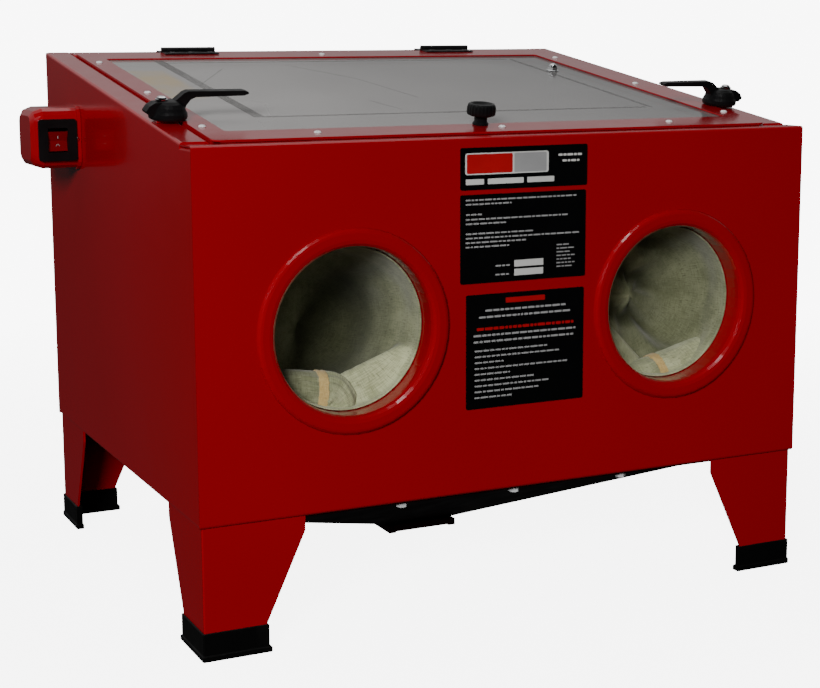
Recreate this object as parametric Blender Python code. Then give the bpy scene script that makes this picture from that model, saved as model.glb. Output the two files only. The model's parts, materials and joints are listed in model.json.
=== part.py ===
"""Bench-top sandblast cabinet with two gauntlets, a hinged window lid and a gated hopper.

The cabinet's own frame has x across (left is negative), y from front to back and z up from
the bench. Every piece hangs from one empty, which puts the middle of the whole object's
footprint at the world's origin.
"""

import math

import bmesh
import bpy
from mathutils import Matrix, Vector

for leftover in list(bpy.data.objects):
    bpy.data.objects.remove(leftover)

MM = 0.001

# Driving sizes of the folded steel body.
BODY_WIDTH = 580 * MM
BODY_DEPTH = 462 * MM
BODY_BOTTOM = 110 * MM
LEDGE_HEIGHT = 412 * MM
LEDGE_DEPTH = 28 * MM
SLOPE_STEP = 1.5 * MM
BACK_HEIGHT = 480.5 * MM
SHEET = 1.5 * MM
BEND = 2.5 * MM
GAP = 0.3 * MM
SIDE_FLANGE = 24 * MM
SIDE_LIP = 3.9 * MM
BOTTOM_FLANGE = 21.5 * MM
FRONT_FLANGE = 26 * MM
FRONT_LIP = 8 * MM
BACK_FLANGE = 19 * MM

HALF = BODY_WIDTH / 2
FRONT = -BODY_DEPTH / 2
BACK = BODY_DEPTH / 2
SLOPE_Y = FRONT + LEDGE_DEPTH
SLOPE_Z = LEDGE_HEIGHT + SLOPE_STEP
SLOPE_RISE = BACK_HEIGHT - SLOPE_Z
SLOPE_ANGLE = math.atan2(SLOPE_RISE, BACK - SLOPE_Y)
SLOPE_LENGTH = math.hypot(SLOPE_RISE, BACK - SLOPE_Y)
INNER_EDGE = HALF - SIDE_FLANGE - GAP

# The lid lies on the slope: x across, s up the slope from its front end, h above it.
LID_HALF = 264.5 * MM
LID_FRONT = -6 * MM
LID_BACK = 417 * MM
LID_LOW = 0.5 * MM
LID_TOP = LID_LOW + SHEET
WINDOW_HALF = 243.5 * MM
WINDOW_FRONT = 27 * MM
WINDOW_BACK = 383 * MM
PANE_MARGIN = 11 * MM
PANE_THICK = 3 * MM
KNOB_X = -15 * MM
KNOB_S = 22 * MM

HINGE_X = 147.5 * MM
HINGE_LENGTH = 57 * MM
HINGE_S = 418.5 * MM
HINGE_H = 4.9 * MM
HINGE_RADIUS = 2.6 * MM
PIN_RADIUS = 1.3 * MM

LATCH_X = 280 * MM
LATCH_S = 80 * MM
BELL_OFFSET = 5.7 * MM
SPINDLE_RADIUS = 2.6 * MM

# Arm ports in the front, with their gauntlets.
PORT_X = 155 * MM
PORT_Z = 258 * MM
PORT_BORE = 69 * MM
PORT_RIM = 85 * MM
NECK_END = FRONT + 24 * MM
BUNDLE_ARC = 49 * MM
BUNDLE_RADIUS = 17.7 * MM
BUNDLE_STEPS = 20

# Legs, feet and hopper below the body.
LEG_SHEET = 2 * MM
LEG_INSET = 2.2 * MM
LEG_TOP_WIDTH = 88 * MM
LEG_FOOT_WIDTH = 53.5 * MM
LEG_SQUARE_HEIGHT = 12 * MM
FOOT_HEIGHT = 23.6 * MM
HOPPER_FLANGE_TOP = BODY_BOTTOM - GAP
HOPPER_FLANGE = 2 * MM
HOPPER_MOUTH_X = 268 * MM
HOPPER_MOUTH_Y = 205 * MM
OUTLET_HALF = 27 * MM
OUTLET_Z = 23.5 * MM
OUTLET_FLANGE = 7 * MM
OUTLET_BORE = 2.6 * MM
GATE_HALF = 31.5 * MM
GATE_THICK = 1.8 * MM
GATE_TOP = OUTLET_Z - 0.7 * MM

# Fittings on the sides and inside.
SWITCH_LOW = Vector((-336, 100, 373)) * MM
SWITCH_HIGH = Vector((-290.3, 162, 430)) * MM
ROCKER_TILT = math.radians(8)
INLET_Y = 120 * MM
INLET_Z = 190 * MM
INLET_REACH = 28 * MM
VENT_X = 120 * MM
VENT_Z = 345 * MM
VENT_REACH = 12 * MM
GUN_X = 255 * MM
GUN_Y = 95 * MM
GUN_Z = 300 * MM
PICKUP_X = 205 * MM
PICKUP_Y = 155 * MM
GRATE_TOP = BODY_BOTTOM + SHEET + GAP + 3 * MM

# The middle of the footprint, between the switch box and the air inlet, and the ports and vent.
PORT_PROUD = 3.5 * MM
REACH_LEFT = SWITCH_LOW.x
REACH_RIGHT = HALF + INLET_REACH
REACH_FRONT = FRONT - PORT_PROUD
REACH_BACK = BACK + VENT_REACH
CENTRE = Vector(((REACH_LEFT + REACH_RIGHT) / 2, (REACH_FRONT + REACH_BACK) / 2, 0))

CABINET = bpy.data.objects.new("cabinet", None)
bpy.context.collection.objects.link(CABINET)
CABINET.location = -CENTRE

SLOPE = Matrix.Translation((0, SLOPE_Y, SLOPE_Z)) @ Matrix.Rotation(SLOPE_ANGLE, 4, "X")


# ---------------------------------------------------------------- placing and materials


def along_x(u, v, w):
    """A profile drawn in y and z, run along x."""
    return Vector((w, u, v))


def along_y(u, v, w):
    """A profile drawn in x and z, run along y."""
    return Vector((u, w, v))


def along_z(u, v, w):
    """A profile drawn in x and y, run along z."""
    return Vector((u, v, w))


def on_slope(x, s, h):
    """A profile drawn across and up the slope, run away from it."""
    return SLOPE @ Vector((x, s, h))


def across_slope(s, h, x):
    """A profile drawn up and away from the slope, run across it."""
    return SLOPE @ Vector((x, s, h))


def material(name, colour, roughness, metallic=0.0, alpha=1.0):
    made = bpy.data.materials.new(name)
    made.use_nodes = True
    shader = made.node_tree.nodes["Principled BSDF"]
    shader.inputs["Base Color"].default_value = (*colour, 1.0)
    shader.inputs["Roughness"].default_value = roughness
    shader.inputs["Metallic"].default_value = metallic
    shader.inputs["Alpha"].default_value = alpha
    return made


RED = (0.24, 0.004, 0.003)
BLACK = (0.012, 0.012, 0.013)
COLOURS = {
    "red_paint": (RED, 0.25, 0.0),
    "black_plastic": (BLACK, 0.45, 0.0),
    "black_rubber": ((0.02, 0.02, 0.021), 0.75, 0.0),
    "black_steel": ((0.02, 0.02, 0.02), 0.4, 0.8),
    "dark_paint": ((0.035, 0.02, 0.014), 0.5, 0.0),
    "chrome": ((0.75, 0.76, 0.78), 0.15, 1.0),
    "steel": ((0.45, 0.45, 0.46), 0.35, 1.0),
    "brass": ((0.6, 0.42, 0.16), 0.3, 1.0),
    "aluminium": ((0.6, 0.61, 0.62), 0.4, 1.0),
    "cotton": ((0.3, 0.34, 0.24), 0.95, 0.0),
    "elastic": ((0.55, 0.42, 0.25), 0.9, 0.0),
    "lamp_cover": ((0.85, 0.8, 0.62), 0.4, 0.0),
    "red_lens": ((0.45, 0.01, 0.02), 0.2, 0.0),
    "label": ((0.01, 0.01, 0.012), 0.4, 0.0),
    "ceramic": ((0.8, 0.78, 0.72), 0.5, 0.0),
    "filter": ((0.7, 0.68, 0.6), 0.95, 0.0),
    "foam": ((0.05, 0.05, 0.05), 0.95, 0.0),
}


def paint(name, slot):
    """Each node has a material of its own, in its slot's colour."""
    if slot == "clear_pane":
        return material(name, (0.6, 0.6, 0.58), 0.2, 0.0, 0.35)
    colour, roughness, metallic = COLOURS[slot]
    return material(name, colour, roughness, metallic)


# ---------------------------------------------------------------- solids and objects


def loft(loops, closed=False):
    """A closed body through loops with equal counts: capped at both ends, or run round."""
    bm = bmesh.new()
    rows = [[bm.verts.new(point) for point in loop] for loop in loops]
    pairs = list(zip(rows, rows[1:]))
    if closed:
        pairs.append((rows[-1], rows[0]))
    else:
        bm.faces.new(rows[0])
        bm.faces.new(rows[-1])
    count = len(rows[0])
    for low, high in pairs:
        for i in range(count):
            j = (i + 1) % count
            bm.faces.new((low[i], low[j], high[j], high[i]))
    return bm


def prism(outline, low, high, place):
    return loft([[place(u, v, w) for u, v in outline] for w in (low, high)])


def frame_prism(outer, inner, low, high, place):
    """A frame between two outlines that have the same number of points."""
    loops = []
    for outline, w in ((outer, low), (outer, high), (inner, high), (inner, low)):
        loops.append([place(u, v, w) for u, v in outline])
    return loft(loops, closed=True)


def block(low, high):
    outline = rectangle(low[0], high[0], low[1], high[1])
    return prism(outline, low[2], high[2], along_z)


def turned(profile, centre, place, segments=32, closed=False):
    """A profile of (radius, height) pairs turned about an axis through centre (u, v)."""
    loops = []
    for radius, w in profile:
        turn = [2 * math.pi * i / segments for i in range(segments)]
        loop = [(centre[0] + radius * math.cos(a), centre[1] + radius * math.sin(a)) for a in turn]
        loops.append([place(u, v, w) for u, v in loop])
    return loft(loops, closed)


def tube(points, radii, sides=10):
    """A round bar along points, its rings turned as little as possible from one to the next."""
    loops = []
    side = None
    for i, point in enumerate(points):
        ahead = points[min(i + 1, len(points) - 1)] - points[max(i - 1, 0)]
        ahead.normalize()
        if side is None:
            side = ahead.orthogonal()
        side = (side - ahead * side.dot(ahead)).normalized()
        other = ahead.cross(side)
        ring = []
        for k in range(sides):
            a = 2 * math.pi * k / sides
            ring.append(point + (side * math.cos(a) + other * math.sin(a)) * radii[i])
        loops.append(ring)
    return loft(loops)


def smooth_route(knots, count):
    """Points along a Catmull-Rom curve through the knots."""
    ends = [knots[0] * 2 - knots[1], *knots, knots[-1] * 2 - knots[-2]]
    points = []
    for k in range(count + 1):
        t = (len(knots) - 1) * k / count
        i = min(int(t), len(knots) - 2)
        f = t - i
        a, b, c, d = ends[i : i + 4]
        points.append(
            0.5 * (2 * b + (c - a) * f + (2 * a - 5 * b + 4 * c - d) * f**2)
            + 0.5 * (3 * b - a - 3 * c + d) * f**3
        )
    return points


def rectangle(u0, u1, v0, v1):
    return [(u0, v0), (u1, v0), (u1, v1), (u0, v1)]


def rounded_rectangle(u0, u1, v0, v1, radius, steps=4):
    outline = []
    corners = ((u1, v1, 0), (u0, v1, 90), (u0, v0, 180), (u1, v0, 270))
    for u, v, start in corners:
        cu = u - math.copysign(radius, u - (u0 + u1) / 2)
        cv = v - math.copysign(radius, v - (v0 + v1) / 2)
        for i in range(steps + 1):
            a = math.radians(start + 90 * i / steps)
            outline.append((cu + radius * math.cos(a), cv + radius * math.sin(a)))
    return outline


def round_path(path, radius, steps=3):
    """An open path with each inner corner turned into an arc."""
    rounded = [path[0]]
    for before, corner, after in zip(path, path[1:], path[2:]):
        corner = Vector(corner)
        back = (Vector(before) - corner).normalized()
        on = (Vector(after) - corner).normalized()
        half = back.angle(on) / 2
        centre = corner + (back + on).normalized() * radius / math.sin(half)
        start = corner + back * radius / math.tan(half) - centre
        end = corner + on * radius / math.tan(half) - centre
        for i in range(steps + 1):
            spoke = start.lerp(end, i / steps).normalized() * radius
            rounded.append(tuple(centre + spoke))
    rounded.append(path[-1])
    return rounded


def folded(path):
    """The outline of a sheet folded along a path: its outer face, then its inner face back."""
    inner = []
    points = [Vector(p) for p in path]
    for i, point in enumerate(points):
        runs = []
        if i > 0:
            runs.append((point - points[i - 1]).normalized())
        if i < len(points) - 1:
            runs.append((points[i + 1] - point).normalized())
        sides = [Vector((run.y, -run.x)) for run in runs]
        total = sides[0] + sides[-1]
        inner.append(point + total * SHEET / (1 + sides[0].dot(sides[-1])))
    return round_path(path, BEND) + round_path([tuple(p) for p in inner], BEND - SHEET)[::-1]


def link(name, bm, pivot=None):
    bmesh.ops.remove_doubles(bm, verts=bm.verts, dist=1e-7)
    bmesh.ops.recalc_face_normals(bm, faces=bm.faces)
    if pivot is not None:
        bm.transform(Matrix.Translation(-pivot))
    mesh = bpy.data.meshes.new(name)
    bm.to_mesh(mesh)
    bm.free()
    made = bpy.data.objects.new(name, mesh)
    bpy.context.collection.objects.link(made)
    made.parent = CABINET
    if pivot is not None:
        made.location = pivot
    return made


def piece(name, bm, slot, pivot=None):
    """One sub-part. With a pivot, its origin lies there, on its joint's axis."""
    made = link(name, bm, pivot)
    made.data.shade_smooth()
    made.data.set_sharp_from_angle(angle=math.radians(35))
    made.data.materials.append(paint(name, slot))
    return made


def shape(target, bm, operation):
    """Joins a tool to a piece, or cuts it out."""
    tool = link(target.name + "_tool", bm)
    tool.hide_render = True
    tool.display_type = "WIRE"
    step = target.modifiers.new(operation.lower(), "BOOLEAN")
    step.object = tool
    step.operation = operation
    step.solver = "EXACT"


def fuse(target, bm):
    shape(target, bm, "UNION")


def cut(target, bm):
    shape(target, bm, "DIFFERENCE")


# ---------------------------------------------------------------- body


def front_panel():
    path = [
        (FRONT + FRONT_FLANGE, BODY_BOTTOM),
        (FRONT, BODY_BOTTOM),
        (FRONT, LEDGE_HEIGHT),
        (SLOPE_Y, LEDGE_HEIGHT),
        (SLOPE_Y, LEDGE_HEIGHT - FRONT_LIP),
    ]
    panel = piece("front_panel", prism(folded(path), -HALF, HALF, along_x), "red_paint")
    for side in (-1, 1):
        ends = sorted((side * INNER_EDGE, side * (HALF + 10 * MM)))
        low = (ends[0], FRONT + SHEET, BODY_BOTTOM - 10 * MM)
        high = (ends[1], SLOPE_Y + 10 * MM, LEDGE_HEIGHT - SHEET)
        cut(panel, block(low, high))
        bore = PORT_BORE + 2.2 * MM
        hole = [(bore, FRONT - 10 * MM), (bore, FRONT + 10 * MM)]
        cut(panel, turned(hole, (side * PORT_X, PORT_Z), along_y, 48))


def side_panel(name, side):
    """Wall, bottom flange, sloping top flange and its turned-down lip, in one folded sheet."""
    clear = SHEET + GAP
    stations = [
        (FRONT + clear, LEDGE_HEIGHT - clear),
        (SLOPE_Y + GAP, LEDGE_HEIGHT - clear),
        (SLOPE_Y + GAP + 0.05 * MM, SLOPE_Z),
        (BACK - clear, BACK_HEIGHT - clear * SLOPE_RISE / (BACK - SLOPE_Y)),
    ]
    loops = []
    for y, top in stations:
        path = [
            (HALF - BOTTOM_FLANGE, BODY_BOTTOM),
            (HALF, BODY_BOTTOM),
            (HALF, top),
            (HALF - SIDE_FLANGE, top),
            (HALF - SIDE_FLANGE, top - SIDE_LIP),
        ]
        mirrored = [(-x, z) for x, z in path]
        loops.append([Vector((-side * x, y, z)) for x, z in folded(mirrored)])
    panel = piece(name, loft(loops), "red_paint")
    # The slot that lets the latch's spindle and pawl pass when the lid is lifted.
    slot = 4.5 * MM
    outer, inner = LATCH_X, HALF - SIDE_FLANGE - 5 * MM
    half_round = [math.radians(90 * i / 4 - 90) for i in range(9)]
    outline = [(outer + slot * math.cos(a), LATCH_S + slot * math.sin(a)) for a in half_round]
    outline += [(inner, LATCH_S + slot), (inner, LATCH_S - slot)]
    outline = [(side * x, s) for x, s in outline]
    cut(panel, prism(outline, -8 * MM, 8 * MM, on_slope))
    return panel


def back_panel():
    lip_top = on_slope(0, SLOPE_LENGTH - BACK_FLANGE, 0)
    lip_end = on_slope(0, SLOPE_LENGTH - BACK_FLANGE, -SIDE_LIP)
    path = [
        (lip_end.y, lip_end.z),
        (lip_top.y, lip_top.z),
        (BACK, BACK_HEIGHT),
        (BACK, BODY_BOTTOM),
        (BACK - FRONT_FLANGE, BODY_BOTTOM),
    ]
    panel = piece("back_panel", prism(folded(path), -HALF, HALF, along_x), "red_paint")
    for side in (-1, 1):
        ends = sorted((side * INNER_EDGE, side * (HALF + 10 * MM)))
        low = (ends[0], BACK - FRONT_FLANGE - 10 * MM, BODY_BOTTOM - 10 * MM)
        high = (ends[1], BACK - SHEET, BACK_HEIGHT + 10 * MM)
        cut(panel, block(low, high))
    bore = 34 * MM
    hole = [(bore, BACK - 10 * MM), (bore, BACK + 10 * MM)]
    cut(panel, turned(hole, (VENT_X, VENT_Z), along_y, 32))


def seal_landing_frame():
    """The rim inside the top opening that the lid's gasket closes on."""
    half = INNER_EDGE - 0.2 * MM
    outer = rectangle(-half, half, GAP + 0.5 * MM, SLOPE_LENGTH - BACK_FLANGE - GAP)
    width = 17 * MM
    inner = rectangle(-half + width, half - width, 14 * MM, outer[2][1] - width)
    top = -SIDE_LIP - GAP
    frame = frame_prism(outer, inner, top - SHEET, top, on_slope)
    piece("seal_landing_frame", frame, "red_paint")


# ---------------------------------------------------------------- hopper and its gate


def hopper():
    """A pyramid of sheet between its bolted flange and the square outlet's flange."""
    low = HOPPER_FLANGE_TOP - HOPPER_FLANGE
    outlet = OUTLET_HALF + SHEET
    flange_x = HALF - 6 * MM
    flange_y = BACK - 6 * MM
    mouth_x = HOPPER_MOUTH_X - 1.7 * MM
    mouth_y = HOPPER_MOUTH_Y - 1.7 * MM
    rims = [
        (flange_x, flange_y, HOPPER_FLANGE_TOP),
        (flange_x, flange_y, low),
        (HOPPER_MOUTH_X, HOPPER_MOUTH_Y, low),
        (outlet, outlet, OUTLET_Z + SHEET),
        (outlet + OUTLET_FLANGE, outlet + OUTLET_FLANGE, OUTLET_Z + SHEET),
        (outlet + OUTLET_FLANGE, outlet + OUTLET_FLANGE, OUTLET_Z),
        (OUTLET_HALF, OUTLET_HALF, OUTLET_Z),
        (OUTLET_HALF, OUTLET_HALF, OUTLET_Z + OUTLET_BORE),
        (mouth_x, mouth_y, HOPPER_FLANGE_TOP),
    ]
    loops = []
    for half_x, half_y, z in rims:
        outline = rectangle(-half_x, half_x, -half_y, half_y)
        loops.append([Vector((x, y, z)) for x, y in outline])
    piece("hopper", loft(loops, closed=True), "dark_paint")


def gate_rail(name, side):
    """An angle that hangs the gate's edge below the outlet flange."""
    inner = GATE_HALF + 0.5 * MM
    outer = OUTLET_HALF + SHEET + OUTLET_FLANGE
    shelf = GATE_TOP - GATE_THICK - 0.5 * MM
    outline = [
        (inner, OUTLET_Z - GAP),
        (outer, OUTLET_Z - GAP),
        (outer, shelf - GATE_THICK),
        (inner - 3.5 * MM, shelf - GATE_THICK),
        (inner - 3.5 * MM, shelf),
        (inner, shelf),
    ]
    mirrored = [(side * x, z) for x, z in outline]
    piece(name, prism(mirrored, -outer, outer, along_y), "dark_paint")


def hopper_gate():
    """A plate that slides forward from under the outlet, with a finger tab turned up in front."""
    pivot = Vector((0, 0, GATE_TOP - GATE_THICK / 2))
    low = GATE_TOP - GATE_THICK
    tip = -(OUTLET_HALF + SHEET + OUTLET_FLANGE + 3.5 * MM)
    outline = [
        (tip, low),
        (GATE_HALF, low),
        (GATE_HALF, GATE_TOP),
        (tip + GATE_THICK, GATE_TOP),
        (tip + GATE_THICK, GATE_TOP + 4.7 * MM),
        (tip, GATE_TOP + 4.7 * MM),
    ]
    piece("hopper_gate", prism(outline, -GATE_HALF, GATE_HALF, along_x), "dark_paint", pivot)


# ---------------------------------------------------------------- legs and feet


def corner_outline(inset, thick, length, sx, sy):
    """An angle section at a corner of the body, both leaves of one length."""
    x, y = HALF - inset, BACK - inset
    nick = 1 * MM
    points = [
        (x - nick, y),
        (x - length, y),
        (x - length, y - thick),
        (x - thick, y - thick),
        (x - thick, y - length),
        (x, y - length),
        (x, y - nick),
    ]
    return [(sx * u, sy * v) for u, v in points]


def angle_loft(stations, sx, sy):
    loops = []
    for z, inset, thick, length in stations:
        outline = corner_outline(inset, thick, length, sx, sy)
        loops.append([Vector((x, y, z)) for x, y in outline])
    return loft(loops)


def leg(name, sx, sy):
    top = BODY_BOTTOM - GAP
    foot_end = 5.3 * MM
    stations = [
        (foot_end, LEG_INSET, LEG_SHEET, LEG_FOOT_WIDTH),
        (FOOT_HEIGHT, LEG_INSET, LEG_SHEET, LEG_FOOT_WIDTH),
        (top - LEG_SQUARE_HEIGHT, LEG_INSET, LEG_SHEET, LEG_TOP_WIDTH),
        (top, LEG_INSET, LEG_SHEET, LEG_TOP_WIDTH),
    ]
    made = piece(name, angle_loft(stations, sx, sy), "red_paint")
    # The flange inside its top, which bolts up through the hopper's flange.
    x, y = HALF - LEG_INSET - 1 * MM, BACK - LEG_INSET - 1 * MM
    in_x, in_y = HOPPER_MOUTH_X + 0.8 * MM, HOPPER_MOUTH_Y + 0.8 * MM
    long = 70 * MM
    outline = [(x, y), (x - long, y), (x - long, in_y), (in_x, in_y), (in_x, y - long), (x, y - long)]
    outline = [(sx * u, sy * v) for u, v in outline]
    high = HOPPER_FLANGE_TOP - HOPPER_FLANGE - GAP
    fuse(made, prism(outline, high - LEG_SHEET, high, along_z))


def foot(name, sx, sy):
    """A rubber boot with a beaded sole, and the slot that the leg stands in."""
    wall = 7 * MM
    stations = [
        (0, 0.5 * MM, wall, 58.3 * MM),
        (0.8 * MM, 0, wall + 0.5 * MM, 59.3 * MM),
        (4.2 * MM, 0, wall + 0.5 * MM, 59.3 * MM),
        (5.4 * MM, 0.8 * MM, wall - 0.8 * MM, 56.3 * MM),
        (FOOT_HEIGHT - 0.6 * MM, 0.8 * MM, wall - 0.8 * MM, 56.3 * MM),
        (FOOT_HEIGHT, 1.3 * MM, wall - 1.6 * MM, 55.5 * MM),
    ]
    made = piece(name, angle_loft(stations, sx, sy), "black_rubber")
    slot_low = 5 * MM
    inset = LEG_INSET - GAP
    slot = (inset, LEG_SHEET + 2 * GAP, LEG_FOOT_WIDTH + 2 * GAP)
    wide = (inset, LEG_SHEET + 2 * GAP, LEG_FOOT_WIDTH + 5 * GAP)
    cut(made, angle_loft([(slot_low, *slot), (FOOT_HEIGHT - 2 * MM, *slot), (30 * MM, *wide)], sx, sy))


# ---------------------------------------------------------------- arm ports and gauntlets


def arm_port(name, x):
    """A pressed ring on the panel's face that rolls in to a short neck."""
    face = FRONT - GAP
    front = FRONT - PORT_PROUD
    neck = PORT_BORE + 1.7 * MM
    profile = [
        (PORT_RIM, face),
        (PORT_RIM - 0.8 * MM, face - 1.6 * MM),
        (PORT_RIM - 2.4 * MM, front + 0.4 * MM),
        (PORT_RIM - 4.2 * MM, front),
        (PORT_BORE + 6.2 * MM, front),
        (PORT_BORE + 3.2 * MM, front + 0.6 * MM),
        (PORT_BORE + 1.2 * MM, front + 2.3 * MM),
        (PORT_BORE + 0.2 * MM, front + 4.9 * MM),
        (PORT_BORE, front + 8.5 * MM),
        (PORT_BORE, NECK_END),
        (neck, NECK_END),
        (neck, face),
    ]
    piece(name, turned(profile, (x, PORT_Z), along_y, 48, closed=True), "red_paint")


def glove_clamp(name, x):
    """A worm-drive band that holds the cuff on the neck, with its screw housing on top."""
    inner, outer = PORT_BORE + 5.2 * MM, PORT_BORE + 6.4 * MM
    low, high = FRONT + 8 * MM, FRONT + 17 * MM
    profile = [(inner, low), (outer, low), (outer, high), (inner, high)]
    band = piece(name, turned(profile, (x, PORT_Z), along_y, 40, closed=True), "steel")
    top = PORT_Z + outer
    fuse(band, block((x - 7 * MM, low - 1 * MM, top - 0.6 * MM), (x + 7 * MM, high + 1 * MM, top + 7 * MM)))


def bundle_route(x):
    """The hand end of the gauntlet, folded forward along the bottom of its port."""
    knots = []
    for degrees, reach, depth in (
        (218, BUNDLE_ARC - 2 * MM, 28 * MM),
        (245, BUNDLE_ARC, 27 * MM),
        (272, BUNDLE_ARC, 33 * MM),
        (300, BUNDLE_ARC - 1 * MM, 50 * MM),
        (318, BUNDLE_ARC - 2 * MM, 75 * MM),
    ):
        a = math.radians(degrees)
        knots.append(Vector((x + reach * math.cos(a), FRONT + depth, PORT_Z + reach * math.sin(a))))
    return knots


def gauntlet(name, x):
    """A cotton sleeve: its cuff lies over the neck and it narrows and sags towards its end."""
    cloth = 2 * MM
    cuff = PORT_BORE + 2.6 * MM
    # (depth behind the front face, inner radius, sag of the centre)
    stations = [
        (5 * MM, cuff, 0),
        (23.5 * MM, cuff, 0),
        (30 * MM, PORT_BORE + 1.0 * MM, 0),
        (60 * MM, 64 * MM, 3 * MM),
        (95 * MM, 56 * MM, 8 * MM),
        (122 * MM, 42 * MM, 13 * MM),
        (134 * MM, 22 * MM, 16 * MM),
    ]
    rings = [(d, r + cloth, sag) for d, r, sag in reversed(stations)]
    rings[0] = (rings[0][0] + cloth, rings[0][1], rings[0][2])
    rings += stations
    segments = 28
    loops = []
    for depth, radius, sag in rings:
        ring = []
        for i in range(segments):
            a = 2 * math.pi * i / segments
            ring.append(
                Vector((x + radius * math.cos(a), FRONT + depth, PORT_Z - sag + radius * math.sin(a)))
            )
        loops.append(ring)
    sleeve = piece(name, loft(loops), "cotton")
    route = smooth_route(bundle_route(x), BUNDLE_STEPS)
    radii = [BUNDLE_RADIUS] * len(route)
    radii[0] = 10 * MM
    radii[1] = 16 * MM
    radii[-1] = 24 * MM
    radii[-2] = 21 * MM
    fuse(sleeve, tube(route, radii, 16))


def elastic_band(name, x, along):
    """A flat band round the folded hand, part of the way along it."""
    route = smooth_route(bundle_route(x), BUNDLE_STEPS)
    middle = route[along]
    ahead = (route[along + 1] - route[along - 1]).normalized()
    side = ahead.orthogonal().normalized()
    other = ahead.cross(side)
    inner, outer, half = BUNDLE_RADIUS + 1.1 * MM, BUNDLE_RADIUS + 1.8 * MM, 3 * MM
    loops = []
    for radius, shift in ((inner, -half), (outer, -half), (outer, half), (inner, half)):
        ring = []
        for i in range(24):
            a = 2 * math.pi * i / 24
            ring.append(middle + ahead * shift + (side * math.cos(a) + other * math.sin(a)) * radius)
        loops.append(ring)
    piece(name, loft(loops, closed=True), "elastic")


# ---------------------------------------------------------------- lid


def lid_frame():
    outer = rounded_rectangle(-LID_HALF, LID_HALF, LID_FRONT, LID_BACK, 6 * MM)
    inner = rounded_rectangle(-WINDOW_HALF, WINDOW_HALF, WINDOW_FRONT, WINDOW_BACK, 3 * MM)
    frame = piece("lid_frame", frame_prism(outer, inner, LID_LOW, LID_TOP, on_slope), "red_paint")
    # The turned-down rim that stiffens it, set back from the front ledge, and the front lip.
    skirt_top = LID_LOW + SHEET / 2
    skirt = LID_HALF - 0.3 * MM
    outer = rectangle(-skirt, skirt, 2 * MM, LID_BACK - 0.3 * MM)
    inner = rectangle(SHEET - skirt, skirt - SHEET, 2 * MM + SHEET, LID_BACK - 0.3 * MM - SHEET)
    fuse(frame, frame_prism(outer, inner, -3.7 * MM, skirt_top, on_slope))
    lip = rectangle(6 * MM - LID_HALF, LID_HALF - 6 * MM, LID_FRONT + GAP, LID_FRONT + GAP + SHEET)
    fuse(frame, prism(lip, -0.25 * MM, skirt_top, on_slope))
    for side in (-1, 1):
        ear_end = LATCH_X + 5.5 * MM
        span = sorted((side * (LID_HALF - 4 * MM), side * ear_end))
        ear = rectangle(span[0], span[1], LATCH_S - 7 * MM, LATCH_S + 7 * MM)
        fuse(frame, prism(ear, LID_LOW + 0.1 * MM, LID_TOP - 0.1 * MM, on_slope))
        bore = SPINDLE_RADIUS + GAP
        hole = [(bore, -10 * MM), (bore, 10 * MM)]
        cut(frame, turned(hole, (side * LATCH_X, LATCH_S), on_slope, 20))


def window_parts():
    x = WINDOW_HALF + PANE_MARGIN
    s0, s1 = WINDOW_FRONT - PANE_MARGIN, WINDOW_BACK + PANE_MARGIN
    top = LID_LOW - GAP
    pane_outline = rectangle(-x, x, s0, s1)
    pane = prism(pane_outline, top - PANE_THICK, top, on_slope)
    piece("window_pane", pane, "clear_pane")
    high = top - PANE_THICK - GAP
    width = PANE_MARGIN + 5 * MM
    inner = rectangle(width - x, x - width, s0 + width, s1 - width)
    retainer = frame_prism(pane_outline, inner, high - 1 * MM, high, on_slope)
    piece("window_retainer", retainer, "steel")
    outer = rectangle(-262 * MM, 262 * MM, 4.2 * MM, 414.2 * MM)
    inner = rectangle(-256 * MM, 256 * MM, 10.2 * MM, 408.2 * MM)
    piece("lid_gasket", frame_prism(outer, inner, -3.6 * MM, LID_LOW - GAP, on_slope), "foam")


def lid_knob():
    """A mushroom knob for lifting the lid."""
    profile = [
        (6.8, 2.3),
        (6.8, 3.6),
        (5.6, 5.0),
        (5.6, 8.5),
        (8.5, 9.6),
        (12.0, 11.2),
        (12.6, 13.0),
        (12.6, 17.0),
        (11.8, 18.8),
        (9.6, 20.0),
        (5.0, 20.6),
    ]
    profile = [(r * MM, h * MM) for r, h in profile]
    piece("lid_knob", turned(profile, (KNOB_X, KNOB_S), on_slope, 28), "black_plastic")


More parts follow.
